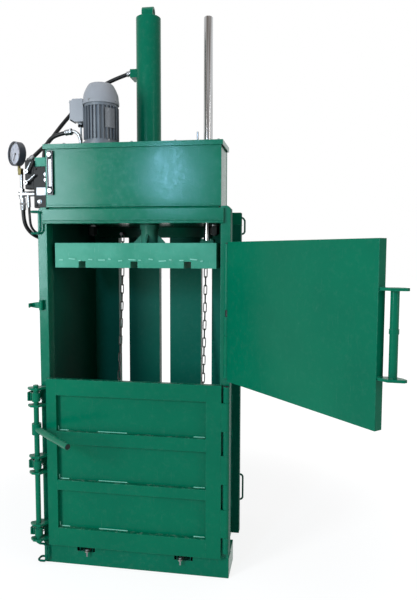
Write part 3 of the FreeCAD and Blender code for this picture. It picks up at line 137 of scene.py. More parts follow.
for name, place, aim, width, height, power, tint in (
        ("key_light", (-2.05, -3.45, 1.9), (-0.4, -0.3, 1.6), 0.95, 1.8, 118, "#f2fbff"),
        ("window_light", (-0.60, -3.7, 2.34), (0.18, -0.35, 1.85), 0.34, 0.5, 30, "#b4dcff"),
        ("right_light", (3.5, -2.2, 2.1), (0.2, 0, 1.6), 0.5, 2.2, 26, "#ffffff"),
        ("top_light", (0.4, -0.6, 5.0), (0, 0, 1.0), 3.0, 3.0, 40, "#ffffff")):
    light = bpy.data.lights.new(name, "AREA")
    light.shape = "RECTANGLE"
    light.size = width
    light.size_y = height
    light.energy = power
    light.color = colour(tint)[:3]
    lamp = bpy.data.objects.new(name, light)
    bpy.context.collection.objects.link(lamp)
    direction = Vector(aim) - Vector(place)
    lamp.matrix_world = (Matrix.Translation(place)
                         @ direction.to_track_quat("-Z", "Y").to_matrix().to_4x4())
bpy.context.scene.view_settings.view_transform = "Standard"


# The frame: folded sheet steel and square tube, welded together and sprayed with a mid green
# alkyd enamel. That paint gives soft reflections, a faint orange peel, edges that are rubbed thin,
# and dust on what looks up.
def enamel(name, fresh, faded, gloss=0.17, dust=0.05, scratches=0.2, wear=0.5, specular=0.1,
           settled=0.5):
    """Sprayed enamel. gloss is its lowest roughness, dust what lies on its upright faces, and
    settled what lies on faces that look up."""
    material, tree = blank(name)
    where = add(tree, "ShaderNodeTexCoord", {})
    place = where.outputs["Object"]
    # the spray coat changes tone over half a metre
    cloud = add(tree, "ShaderNodeTexNoise", {"Scale": 2.2, "Detail": 5.0, "Roughness": 0.6},
                {"Vector": place})
    blend = add(tree, "ShaderNodeMapRange", {"From Min": 0.33, "From Max": 0.7},
                {"Value": cloud.outputs["Fac"]})
    tone = add(tree, "ShaderNodeMix", {"data_type": "RGBA", 6: colour(fresh), 7: colour(faded)},
               {0: blend.outputs[0]})
    # scratches run mostly upright: 1.5 mm wide and about 60 mm long
    stretch = add(tree, "ShaderNodeMapping", {"Scale": (260, 260, 9)}, {"Vector": place})
    lines = add(tree, "ShaderNodeTexNoise", {"Scale": 1.0, "Detail": 3.0, "Roughness": 0.75},
                {"Vector": stretch.outputs[0]})
    thin = add(tree, "ShaderNodeMapRange", {"From Min": 0.66, "From Max": 0.78, "To Max": scratches},
               {"Value": lines.outputs["Fac"]})
    worn = add(tree, "ShaderNodeMix", {"data_type": "RGBA", 7: colour("#8fb3a8")},
               {0: thin.outputs[0], 6: tone.outputs[2]})
    # paint is rubbed thin along edges: a 3 mm band, broken up by 10 mm patches
    soft = add(tree, "ShaderNodeBevel", {"Radius": 0.003, "samples": 4})
    shape = add(tree, "ShaderNodeNewGeometry", {})
    even = add(tree, "ShaderNodeVectorMath", {"operation": "DOT_PRODUCT"},
               {0: soft.outputs[0], 1: shape.outputs["Normal"]})
    grime = add(tree, "ShaderNodeTexNoise", {"Scale": 42.0, "Detail": 6.0, "Roughness": 0.7},
                {"Vector": place})
    edge = add(tree, "ShaderNodeMapRange", {"From Min": 0.995, "From Max": 0.9, "To Max": wear},
               {"Value": even.outputs["Value"]})
    patch = add(tree, "ShaderNodeMapRange", {"From Min": 0.42, "From Max": 0.62},
                {"Value": grime.outputs["Fac"]})
    rubbed = add(tree, "ShaderNodeMath", {"operation": "MULTIPLY"},
                 {0: edge.outputs[0], 1: patch.outputs[0]})
    thinned = add(tree, "ShaderNodeMix", {"data_type": "RGBA", 7: colour("#4f9c86")},
                  {0: rubbed.outputs[0], 6: worn.outputs[2]})
    # dust lies in patches of 5 to 20 mm, thicker on faces that look up
    aspect = add(tree, "ShaderNodeSeparateXYZ", {}, {0: shape.outputs["Normal"]})
    upward = add(tree, "ShaderNodeMapRange",
                 {"From Min": 0.7, "From Max": 0.98, "To Min": dust, "To Max": settled},
                 {"Value": aspect.outputs["Z"]})
    spots = add(tree, "ShaderNodeMapRange", {"From Min": 0.5, "From Max": 0.8},
                {"Value": grime.outputs["Fac"]})
    dusty = add(tree, "ShaderNodeMath", {"operation": "MULTIPLY"},
                {0: upward.outputs[0], 1: spots.outputs[0]})
    skin = add(tree, "ShaderNodeMix", {"data_type": "RGBA", 7: colour("#93a79f")},
               {0: dusty.outputs[0], 6: thinned.outputs[2]})
    rough = add(tree, "ShaderNodeMapRange",
                {"From Min": 0.3, "From Max": 0.8, "To Min": gloss, "To Max": gloss + 0.14},
                {"Value": grime.outputs["Fac"]})
    # orange peel of 2 mm ripples, on sheet that waves a little over 200 mm
    peel = add(tree, "ShaderNodeTexNoise", {"Scale": 420.0, "Detail": 1.0}, {"Vector": place})
    slow = add(tree, "ShaderNodeTexNoise", {"Scale": 5.0, "Detail": 1.0}, {"Vector": place})
    rise = add(tree, "ShaderNodeMath", {"operation": "MULTIPLY_ADD", 1: 40.0},
               {0: slow.outputs["Fac"], 2: peel.outputs["Fac"]})
    bump = add(tree, "ShaderNodeBump", {"Strength": 0.4, "Distance": 0.00012}, {"Height": rise.outputs[0]})
    # a low specular level, with a cool tint, keeps the white studio from greying the paint
    shader = add(tree, "ShaderNodeBsdfPrincipled",
                 {"IOR": 1.5, "Specular IOR Level": specular, "Specular Tint": colour("#e2fbff")},
                 {"Base Color": skin.outputs[2], "Roughness": rough.outputs[0],
                  "Normal": bump.outputs[0]})
    add(tree, "ShaderNodeOutputMaterial", {}, {"Surface": shader.outputs[0]})
    return material


def dress(name, material, edge=0.0):
    """Gives a CAD piece its finish. Its mesh stays, and its sheared or rolled edges are broken by
    the small radius that a real one has."""
    part = parts[name]
    part.data.materials.clear()
    part.data.materials.append(material)
    for polygon in part.data.polygons:
        polygon.material_index = 0
        polygon.use_smooth = True
    weld = part.modifiers.new("joined", "WELD")
    weld.merge_threshold = 0.00002
    if edge:
        bevel = part.modifiers.new("edges", "BEVEL")
        bevel.width = edge
        bevel.segments = 2
        bevel.limit_method = "ANGLE"
        bevel.angle_limit = math.radians(40)
        part.modifiers.new("flats", "WEIGHTED_NORMAL")
    else:
        split = part.modifiers.new("corners", "EDGE_SPLIT")
        split.split_angle = math.radians(32)


def second_coat(name, material, chosen):
    """Gives some faces of a CAD piece, chosen by place and normal, another finish."""
    mesh = parts[name].data
    mesh.materials.append(material)
    for polygon in mesh.polygons:
        if chosen(polygon.center, polygon.normal):
            polygon.material_index = 1


def settle(piece, name, body, material, angle=35):
    """Finishes a new piece: at the origin, shaded, named, given its material, on its body."""
    bpy.ops.object.select_all(action="DESELECT")
    piece.select_set(True)
    bpy.context.view_layer.objects.active = piece
    bpy.ops.object.transform_apply(location=True, rotation=True, scale=True)
    bpy.ops.object.shade_smooth_by_angle(angle=math.radians(angle))
    piece.name = name
    piece.data.materials.clear()
    piece.data.materials.append(material)
    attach(piece, body)
    return piece


# Weld beads are small ripples of steel laid along a joint, 5 mm to a ripple, painted over.
RIPPLE = 0.005


def bead(name, body, runs, width, material):
    """A round bead along each run of points: a weld, or a thin raised line."""
    line = bpy.data.curves.new(name, "CURVE")
    line.dimensions = "3D"
    line.bevel_depth = width / 2
    line.bevel_resolution = 1
    line.use_fill_caps = True
    for run in runs:
        points = [Vector(run[0])]
        for a, b in zip(run, run[1:]):
            a, b = Vector(a), Vector(b)
            steps = max(2, round((b - a).length / RIPPLE))
            points += [a.lerp(b, (k + 1) / steps) for k in range(steps)]
        spline = line.splines.new("POLY")
        spline.points.add(len(points) - 1)
        for k, (point, place) in enumerate(zip(spline.points, points)):
            point.co = (*place, 1)
            point.radius = 1.0 if k % 2 else 0.78
    made = bpy.data.objects.new(name, line)
    bpy.context.collection.objects.link(made)
    bpy.ops.object.select_all(action="DESELECT")
    made.select_set(True)
    bpy.context.view_layer.objects.active = made
    bpy.ops.object.convert(target="MESH")
    return settle(bpy.context.object, name, body, material, 60)


def stitches(start, end, length, pitch):
    """Short runs of one length, a pitch apart, from start towards end."""
    start, end = Vector(start), Vector(end)
    way = (end - start).normalized()
    count = int(((end - start).length - length) // pitch) + 1
    return [[start + way * (pitch * k), start + way * (pitch * k + length)] for k in range(count)]


def solids(name):
    """Each separate solid of a CAD node, as an array of its corner points."""
    mesh = bmesh.new()
    mesh.from_mesh(parts[name].data)
    bmesh.ops.remove_doubles(mesh, verts=mesh.verts, dist=0.00002)
    found = []
    reached = set()
    for start in mesh.verts:
        if start in reached:
            continue
        reached.add(start)
        island = [start]
        for vert in island:
            for side in vert.link_edges:
                other = side.other_vert(vert)
                if other not in reached:
                    reached.add(other)
                    island.append(other)
        found.append(np.array([v.co for v in island]))
    mesh.free()
    return found


green = enamel("sprayed_green_enamel", "#005c44", "#00654b")
for name, edge in (("base_frame", 0.0025), ("rear_crosshead", 0.0025), ("cylinder_beams", 0.002),
                   ("frame_knuckles", 0.0008), ("lock_keepers", 0.001)):
    dress(name, green, edge)
# the posts and the beam are wiped at the front, which gives clearer reflections and less dust
front_green = enamel("glossy_front_enamel", "#005c44", "#00654b", gloss=0.14, dust=0.04,
                     scratches=0.1, specular=0.2)
for name, edge in (("front_posts", 0.0022), ("front_beam", 0.0012)):
    dress(name, front_green, edge)
# the body's inside and its outer sides get a duller coat in a darker green: painted shade
shade_dark_green = enamel("dull_shade_dark_enamel", "#004a3a", "#055443", gloss=0.4, scratches=0.15,
                     specular=0.03, settled=0.3)
for name, edge in (("side_walls", 0.0012), ("chamber_floor", 0.001), ("rod_loops", 0)):
    dress(name, shade_dark_green, edge)
# the posts' outward faces take the same darker coat: painted shade on those sides
second_coat("front_posts", shade_dark_green, lambda place, normal: place.x * normal.x > 0.3)
# the rear wall has a greyer, flatter green that is lighter than the frame's: painted light, for light
# reaching into the chamber
rear_lightened_green = enamel("lightened_rear_enamel", "#0c5f4e", "#126a58", gloss=0.3, dust=0.04,
                    scratches=0.15, specular=0.08)
dress("rear_wall", rear_lightened_green, 0.002)

posts_low, posts_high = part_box("front_posts")
beam_low, beam_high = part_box("front_beam")
rear_low, rear_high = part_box("rear_wall")
walls_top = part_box("side_walls")[1].z
head_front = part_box("rear_crosshead")[0].y
plate_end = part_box("cylinder_beams")[1].x
STIFFENER = 0.045
STITCH, STITCH_PITCH, FIRST_STITCH_Z = 0.045, 0.19, 0.14
TOP_STITCH, TOP_PITCH = 0.05, 0.11
PRESS_BEAM_EDGES = (-0.115, -0.065, 0.065, 0.115)
SLOT_PITCH, SLOT_HALF = 0.238, 0.03
FRAME_WELD = 0.0055
runs = []
for side in (-1, 1):
    beam_end = side * beam_high.x
    post_in = side * plate_end
    sheet_out = side * rear_high.x
    post_out = side * posts_high.x
    runs.append([(beam_end, posts_low.y, beam_low.z + 0.003), (beam_end, posts_low.y, beam_high.z - 0.003)])
    runs.append([(post_in, posts_low.y, beam_low.z), (beam_end, posts_low.y, beam_low.z)])
    runs.append([(post_in, posts_low.y, posts_low.z), (post_out, posts_low.y, posts_low.z)])
    runs.append([(post_out, posts_low.y, posts_low.z), (post_out, posts_high.y, posts_low.z)])
    for y in (posts_high.y, head_front, head_front + STIFFENER):
        runs += stitches((sheet_out, y, FIRST_STITCH_Z), (sheet_out, y, walls_top), STITCH, STITCH_PITCH)
    runs.append([(post_out, head_front, walls_top), (post_out, head_front + STIFFENER, walls_top)])
    runs.append([(post_in, posts_high.y, walls_top), (post_in, head_front, walls_top)])
slot_edges = [side * SLOT_PITCH + half for side in (-1, 0, 1) for half in (-SLOT_HALF, SLOT_HALF)]
strip_edges = [rear_low.x, *slot_edges, rear_high.x]
for left, right in zip(strip_edges[::2], strip_edges[1::2]):
    runs.append([(left, rear_high.y, rear_high.z), (right, rear_high.y, rear_high.z)])
    runs.append([(left, rear_high.y, rear_low.z), (right, rear_high.y, rear_low.z)])
for x in PRESS_BEAM_EDGES:
    runs += stitches((x, posts_high.y + 0.02, walls_top), (x, head_front, walls_top), TOP_STITCH, TOP_PITCH)
bead("frame_welds", "frame", runs, FRAME_WELD, green)
# the front beam's foot is folded under, and the fold catches the light as a fine line
fold_z = beam_low.z + 0.013
bead("beam_fold_line", "frame",
     [[(beam_low.x + 0.002, beam_low.y, fold_z), (beam_high.x - 0.002, beam_low.y, fold_z)]],
     0.0045, front_green)
# each keeper's bar at the post is welded along three of its edges
runs = []
for points in solids("lock_keepers"):
    low, high = points.min(0), points.max(0)
    if abs(high[0] - posts_low.x) < 0.001:
        for z in (low[2], high[2]):
            runs.append([(high[0], low[1], z), (high[0], high[1], z)])
        runs.append([(high[0], low[1], low[2]), (high[0], low[1], high[2])])
bead("keeper_welds", "frame", runs, 0.005, green)

# The press: a seamless steel barrel with a welded flange, port blocks and lifting eye, enamelled
# with the frame. The guide sleeve beside it has the same coat.
def circle(centre, radius, count=40):
    """The points of a closed ring that lies level."""
    return [(centre[0] + radius * math.cos(2 * math.pi * k / count),
             centre[1] + radius * math.sin(2 * math.pi * k / count), centre[2]) for k in range(count + 1)]


for name, edge in (("cylinder_barrel", 0.0012), ("guide_sleeve", 0.001)):
    dress(name, green, edge)
barrel_low, barrel_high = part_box("cylinder_barrel")
press_x, press_y = 0.0, (barrel_low.y + barrel_high.y) / 2
BARREL_R = 0.0605
FLANGE_TOP = 1.722
PORTS = (1.742, 2.355)
PORT_H = 0.040
PORT_X, PORT_Y = (-0.056, -0.051), 0.02
runs = [circle((press_x, press_y, FLANGE_TOP), BARREL_R + 0.001)]
for z in PORTS:
    for height in (z, z + PORT_H):
        runs.append([(PORT_X[0], press_y - PORT_Y, height), (PORT_X[1], press_y + PORT_Y, height)])
bead("barrel_welds", "frame", runs, 0.006, green)

# The platen: a box of heavy plate, with the seam of its plug welds across the front and the
# welds of the ram's socket on top. Paper has scuffed its enamel and worn its edges, and its pale
# tone is partly a painted highlight for the sheen that its front catches.
scuff_and_sheen_green = enamel("scuffed_and_sheen_enamel", "#1c7359", "#4d9a84", gloss=0.26, dust=0.1,
                    scratches=0.9, wear=0.8)
for name, edge in (("platen", 0.003), ("platen_socket", 0.001)):
    dress(name, scuff_and_sheen_green, edge)
platen_low, platen_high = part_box("platen")
SEAM_UP, PLUG_PITCH, PLUG_LENGTHS = 0.036, 0.048, (0.02, 0.034, 0.012)
SEAM_DRIFT = (0.0, 0.006, -0.004, 0.003)
seam_z = platen_low.z + SEAM_UP
runs = []
for k, start in enumerate(np.arange(platen_low.x + 0.02, platen_high.x - 0.05, PLUG_PITCH)):
    end = start + PLUG_LENGTHS[k % 3]
    drift = SEAM_DRIFT[k % 4]
    runs.append([(start, platen_low.y, seam_z + drift), (end, platen_low.y, seam_z + drift / 2)])
# the welds' pale paint is a painted highlight, standing in for the glints on their ripples
weld_highlight_green = enamel("weld_highlight_enamel", "#63b09a", "#8cc6b4", gloss=0.3, scratches=0.6, wear=0.6)
bead("platen_seam", "platen", runs, 0.008, weld_highlight_green)
SOCKET_R = 0.042
GUSSET_HALF, GUSSET_OUT, GUSSET_UP = 0.005, 0.038, 0.046
foot = Vector((press_x, press_y, platen_high.z))
runs = [circle(foot, SOCKET_R + 0.001)]
for turn in range(4):
    way = Vector((math.cos(turn * math.pi / 2), math.sin(turn * math.pi / 2), 0))
    across = Vector((-way.y, way.x, 0)) * GUSSET_HALF
    for side in (-1, 1):
        corner = foot + way * SOCKET_R + across * side
        runs.append([corner, corner + way * GUSSET_OUT])
        runs.append([corner, corner + Vector((0, 0, GUSSET_UP))])
bead("socket_welds", "platen", runs, 0.005, scuff_and_sheen_green)

# Hard-chromed ground bar: the ram and the guide rod, bright, with the fine rings that
# centreless grinding leaves, drawn 4 mm apart so that they show.
material, tree = blank("ground_chromed_bar")
where = add(tree, "ShaderNodeTexCoord", {})
turns = add(tree, "ShaderNodeTexWave",
            {"wave_type": "BANDS", "bands_direction": "Z", "Scale": 80.0, "Distortion": 1.5, "Detail": 2.0},
            {"Vector": where.outputs["Object"]})
rough = add(tree, "ShaderNodeMapRange", {"To Min": 0.12, "To Max": 0.24},
            {"Value": turns.outputs["Fac"]})
# dark and bright streaks along the bar, 6 to 12 mm wide and half a metre long: a painted reflection of dark
# and bright surroundings in the chrome
drawn = add(tree, "ShaderNodeMapping", {"Scale": (75, 75, 1.2)}, {"Vector": where.outputs["Object"]})
reflection_streaks = add(tree, "ShaderNodeTexNoise", {"Scale": 1.0, "Detail": 2.0}, {"Vector": drawn.outputs[0]})
reflection_streaks = add(tree, "ShaderNodeMapRange", {"From Min": 0.38, "From Max": 0.6},
           {"Value": reflection_streaks.outputs["Fac"]})
tone = add(tree, "ShaderNodeMix", {"data_type": "RGBA", 6: colour("#6d6763"), 7: colour("#c6c8ca")},
           {0: reflection_streaks.outputs[0]})
shader = add(tree, "ShaderNodeBsdfPrincipled", {"Metallic": 1.0},
             {"Base Color": tone.outputs[2], "Roughness": rough.outputs[0]})
add(tree, "ShaderNodeOutputMaterial", {}, {"Surface": shader.outputs[0]})
for name in ("piston_rod", "guide_rod"):
    dress(name, material)


# Bolts, clamps, fittings, steel pipes and hand levers are zinc plated: bright grey, slightly
# cloudy in patches of 8 mm, and duller where they have been handled.
def plated(name, tint, dull, rough_from, rough_to):
    """Bare or plated metal whose tone and polish vary in small clouds."""
    material, tree = blank(name)
    where = add(tree, "ShaderNodeTexCoord", {})
    cloud = add(tree, "ShaderNodeTexNoise", {"Scale": 120.0, "Detail": 4.0},
                {"Vector": where.outputs["Object"]})
    tone = add(tree, "ShaderNodeMix", {"data_type": "RGBA", 6: colour(tint), 7: colour(dull)},
               {0: cloud.outputs["Fac"]})
    rough = add(tree, "ShaderNodeMapRange", {"To Min": rough_from, "To Max": rough_to},
                {"Value": cloud.outputs["Fac"]})
    bump = add(tree, "ShaderNodeBump", {"Strength": 0.2, "Distance": 0.00008},
               {"Height": cloud.outputs["Fac"]})
    shader = add(tree, "ShaderNodeBsdfPrincipled", {"Metallic": 1.0},
                 {"Base Color": tone.outputs[2], "Roughness": rough.outputs[0],
                  "Normal": bump.outputs[0]})
    add(tree, "ShaderNodeOutputMaterial", {}, {"Surface": shader.outputs[0]})
    return material


zinc = plated("bright_zinc_plate", "#a6a8aa", "#5f6164", 0.2, 0.42)
for name in ("frame_bolts", "guide_clamp", "hose_fittings", "steel_pipes", "pipe_column",
             "valve_lever_1", "valve_lever_2"):
    dress(name, zinc, 0.0005 if name == "frame_bolts" else 0)
# the hinge pins and the nuts on the top plate are made dark and dull: painted shade, for parts that sit in
# shadow
shade_dark_steel = plated("painted_shade_dark_steel", "#3b3f3e", "#232625", 0.4, 0.6)
dress("hinge_pins", shade_dark_steel)
second_coat("frame_bolts", shade_dark_steel,
            lambda place, normal: abs(place.x) > 0.29 and place.z > 1.5 and place.y > 0)


def towards(place, way):
    """Puts a piece modelled at the origin at a place, with its top turned along way."""
    return Matrix.Translation(Vector(place)) @ Vector(way).to_track_quat("Z", "Y").to_matrix().to_4x4()


def joined(pieces):
    """Several objects made one."""
    bpy.ops.object.select_all(action="DESELECT")
    for piece in pieces:
        piece.select_set(True)
    bpy.context.view_layer.objects.active = pieces[0]
    if len(pieces) > 1:
        bpy.ops.object.join()
    return bpy.context.object


def set_out(pattern, name, body, material, spots):
    """Copies of one modelled piece, each with its own mesh, set at their places and joined."""
    copies = []
    for spot in spots:
        copy = pattern.copy()
        copy.data = pattern.data.copy()
        bpy.context.collection.objects.link(copy)
        copy.data.transform(spot)
        copies.append(copy)
    bpy.data.objects.remove(pattern)
    return settle(joined(copies), name, body, material)


def turned_piece(sides, steps):
    """A turned piece standing on the origin: a disc drawn up through (radius, height) steps."""
    bpy.ops.object.select_all(action="DESELECT")
    bpy.ops.mesh.primitive_circle_add(vertices=sides, radius=steps[0][0], fill_type="NGON",
                                      location=(0, 0, steps[0][1]))
    piece = bpy.context.object
    bpy.ops.object.transform_apply(location=True, rotation=False, scale=False)
    bpy.ops.object.mode_set(mode="EDIT")
    bpy.ops.mesh.select_all(action="SELECT")
    for (radius, height), (new_radius, new_height) in zip(steps, steps[1:]):
        bpy.ops.mesh.extrude_region_move(TRANSFORM_OT_translate={"value": (0, 0, new_height - height)})
        scale = new_radius / radius
        bpy.ops.transform.resize(value=(scale, scale, 1), center_override=(0, 0, new_height))
    bpy.ops.mesh.select_all(action="SELECT")
    bpy.ops.mesh.normals_make_consistent(inside=False)
    bpy.ops.object.mode_set(mode="OBJECT")
    return piece


def hex_screw(flats):
    """A hexagon head with its chamfered top on a round washer."""
    corner = flats / math.sqrt(3)
    rise = flats * 0.1
    washer = turned_piece(28, [(flats * 0.78, 0), (flats * 0.82, rise * 0.3),
                               (flats * 0.82, rise * 0.8), (flats * 0.78, rise)])
    head = turned_piece(6, [(corner, rise), (corner, rise + flats * 0.5),
                            (corner * 0.84, rise + flats * 0.6)])
    return joined([washer, head])


def socket_screw(size):
    """A round head with a hexagon socket sunk in it."""
    return turned_piece(32, [(size, 0), (size, size * 0.85), (size * 0.92, size), (size * 0.62, size),
                             (size * 0.55, size * 0.45)])


def small_block(low, high, edge):
    """A cut block with its edges broken."""
    low, high = Vector(low), Vector(high)
    bpy.ops.object.select_all(action="DESELECT")
    bpy.ops.mesh.primitive_cube_add(size=1, location=(low + high) / 2)
    piece = bpy.context.object
    piece.scale = high - low
    bpy.ops.object.transform_apply(location=True, rotation=False, scale=True)
    bpy.ops.object.mode_set(mode="EDIT")
    bpy.ops.mesh.select_all(action="SELECT")
    bpy.ops.mesh.bevel(offset=edge, segments=2, affect="EDGES")
    bpy.ops.object.mode_set(mode="OBJECT")
    return piece


# Tie bolts clamp the top plate: each has thick washers between its nuts and under its head,
# stamped from steel and zinc plated like the bolt.
TIE_X, TIE_Y, TIE_R, WASHERS_Z = 0.323, 0.035, 0.0255, (1.6311, 1.6401)
washer = turned_piece(36, [(TIE_R * 0.97, 0), (TIE_R, 0.0006), (TIE_R, 0.0032), (TIE_R * 0.97, 0.0038)])
set_out(washer, "tie_washers", "frame", zinc,
        [Matrix.Translation((side * TIE_X, TIE_Y, z)) for side in (-1, 1) for z in WASHERS_Z])

# Strap chains: welded links of 6 mm wire, galvanised and dulled by use, each a quarter turn from
# the next. One link is shaped from a ring pulled long, then set at every place a link hangs.
galvanised = plated("galvanised_chain", "#9a9892", "#5d5a55", 0.35, 0.6)
WIRE_R, LINK_R, LINK_PULL = 0.003, 0.008, 0.019
bpy.ops.object.select_all(action="DESELECT")
bpy.ops.mesh.primitive_torus_add(major_segments=20, minor_segments=8, major_radius=LINK_R,
                                 minor_radius=WIRE_R)
ring = bpy.context.object
bpy.ops.object.mode_set(mode="EDIT")
for half in (-1, 1):
    mesh = bmesh.from_edit_mesh(ring.data)
    bpy.ops.mesh.select_all(action="DESELECT")
    for vertex in mesh.verts:
        vertex.select = vertex.co.y * half > 0.0004
    mesh.select_flush(True)
    bmesh.update_edit_mesh(ring.data)
    bpy.ops.transform.translate(value=(0, LINK_PULL * half, 0))
bpy.ops.object.mode_set(mode="OBJECT")
spots = []
for points in solids("chains"):
    middle = points.mean(0)
    axes = np.linalg.svd(points - middle)[2]
    turn = Matrix((axes[1], axes[0], np.cross(axes[1], axes[0]))).transposed().to_4x4()
    spots.append(Matrix.Translation(middle) @ turn)
chain = set_out(ring, "strap_chain_links", "frame", galvanised, spots)
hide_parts("chains")

# The bale door: a frame of flat tube over an inner sheet, enamelled like the frame but cleaner.
# The frame's joints are welded and ground, and short welds hold the sunk panels along their feet.
# Its smoother coat has few scratches and little dust.
door_green = enamel("smooth_door_enamel", "#005d44", "#006549", gloss=0.16, dust=0.03,
                    scratches=0.1, wear=0.35)
for name, edge in (("lower_door_frame", 0.003), ("lower_door_sheet", 0.001),
                   ("lower_door_fittings", 0.0008)):
    dress(name, door_green, edge)
door_low, door_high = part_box("lower_door_frame")
sheet_low, sheet_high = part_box("lower_door_sheet")
PANEL_X = (door_low.x + 0.049, door_high.x - 0.069)
RAILS_Z = ((0.103, 0.190), (0.376, 0.424), (0.600, 0.660), (0.831, 0.907))
runs = []
for x in PANEL_X:
    for low, high in RAILS_Z:
        runs.append([(x, door_low.y + 0.0004, low + 0.004), (x, door_low.y + 0.0004, high - 0.004)])
bead("door_frame_joints", "lower_door", runs, 0.0022, door_green)
runs = []
middle = sum(PANEL_X) / 2
for low, high in RAILS_Z[:3]:
    for start, end in ((PANEL_X[0] + 0.006, PANEL_X[0] + 0.05), (middle - 0.16, middle - 0.02),
                       (PANEL_X[1] - 0.06, PANEL_X[1] - 0.008)):
        runs.append([(start, sheet_low.y, high), (end, sheet_low.y, high)])
    runs.append([(PANEL_X[0], sheet_low.y, high), (PANEL_X[0], sheet_low.y, high + 0.02)])
# the panel welds take the same pale paint: a painted highlight
bead("door_panel_welds", "lower_door", runs, 0.007, weld_highlight_green)
runs = []
for points in solids("lower_door_fittings"):
    low, high = points.min(0), points.max(0)
    if low[0] > 0:
        runs.append([(door_high.x, door_low.y, low[2] + 0.003), (door_high.x, door_low.y, high[2] - 0.003)])
    else:
        for z in (low[2], high[2]):
            runs.append([(door_low.x + 0.001, door_low.y, z), (door_low.x + 0.001, sheet_high.y, z)])
bead("door_fitting_welds", "lower_door", runs, 0.0045, door_green)

# The loading door, standing open: a folded tray with a smooth glossy inner face, a bar handle
# between two flat brackets, and knuckles welded to its hinge edge.
for name, edge in (("upper_door", 0.0015), ("upper_door_fittings", 0.0008), ("handle_bar", 0.001)):
    dress(name, door_green, edge)
OPEN = math.radians(131.6)
pivot = Vector(joints["upper_door_hinge"]["pos_m"])
swing = Matrix.Translation(pivot) @ Matrix.Rotation(OPEN, 4, "Z") @ Matrix.Translation(-pivot)
upper_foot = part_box("upper_door")[0].z
# the tray as it lies when it is shut, and the heights of its brackets and knuckles over its foot
SHUT_X, SHUT_Y = (-0.419, 0.416), (-0.374, -0.341)
BRACKETS_UP, KNUCKLES_UP = ((0.175, 0.165), (0.450, 0.460)), ((0.071, 0.200), (0.401, 0.530))
runs = []
for pair in BRACKETS_UP:
    for up in pair:
        runs.append([swing @ Vector((SHUT_X[0], SHUT_Y[0] + 0.002, upper_foot + up)),
                     swing @ Vector((SHUT_X[0], SHUT_Y[1] - 0.004, upper_foot + up))])
for low, high in KNUCKLES_UP:
    runs.append([swing @ Vector((SHUT_X[1], SHUT_Y[0] + 0.003, upper_foot + low + 0.004)),
                 swing @ Vector((SHUT_X[1], SHUT_Y[0] + 0.003, upper_foot + high - 0.004))])
bead("loading_door_welds", "upper_door", runs, 0.0045, door_green)

# The lock: an upright shaft with cams, turned by a tube lever that is open at its end, and the
# hook that catches the loading door.
for name, edge in (("lock_shaft", 0.0006), ("lock_lever", 0.0012), ("door_catch", 0.001)):
    dress(name, door_green, edge)
lock = Vector(joints["lock_shaft_turn"]["pos_m"])
LEVER_ANGLE, LEVER_LENGTH, LEVER_R, LEVER_Z = math.radians(-41.3), 0.325, 0.0155, 0.672
way = Vector((math.cos(LEVER_ANGLE), math.sin(LEVER_ANGLE), 0))
tip = Vector((lock.x, lock.y, LEVER_Z)) + way * LEVER_LENGTH
tube_end = turned_piece(40, [(LEVER_R, 0), (LEVER_R, 0.0024), (LEVER_R * 0.95, 0.0032),
                             (LEVER_R * 0.8, 0.0032), (LEVER_R * 0.76, 0.0005)])
set_out(tube_end, "lever_tube_end", "lock", door_green, [towards(tip, way)])


def mottled(name, tint, dull, scale, detail, roughness, ior=1.5):
    """A plain surface with no metal in it, whose tone varies in small patches."""
    material, tree = blank(name)
    where = add(tree, "ShaderNodeTexCoord", {})
    cloud = add(tree, "ShaderNodeTexNoise", {"Scale": scale, "Detail": detail},
                {"Vector": where.outputs["Object"]})
    tone = add(tree, "ShaderNodeMix", {"data_type": "RGBA", 6: colour(tint), 7: colour(dull)},
               {0: cloud.outputs["Fac"]})
    shader = add(tree, "ShaderNodeBsdfPrincipled", {"Roughness": roughness, "IOR": ior},
                 {"Base Color": tone.outputs[2]})
    add(tree, "ShaderNodeOutputMaterial", {}, {"Surface": shader.outputs[0]})
    return material


# the open tube's inside is a matt, nearly black disc: painted shade for the shadowed hollow
hole = turned_piece(40, [(LEVER_R * 0.72, 0.0001), (LEVER_R * 0.76, 0.0008), (LEVER_R * 0.3, 0.0010)])
set_out(hole, "lever_tube_inside", "lock",
        mottled("shaded_tube_inside", "#06140f", "#0f231c", 300.0, 3.0, 0.85), [towards(tip, way)])
SHAFT_R, SOCKET_UP = 0.0125, 0.026
runs = []
for points in solids("lock_shaft"):
    low, high = points.min(0), points.max(0)
    # a cam is short and wide, and the shaft itself isn't
    if high[2] - low[2] < 0.1 and high[0] - low[0] > 0.035:
        for z in (low[2], high[2]):
            runs.append(circle((lock.x, lock.y, z), SHAFT_R, 24))
runs += [circle((lock.x, lock.y, LEVER_Z + rise), SHAFT_R, 24) for rise in (-SOCKET_UP, SOCKET_UP)]
bead("cam_welds", "lock", runs, 0.0045, door_green)

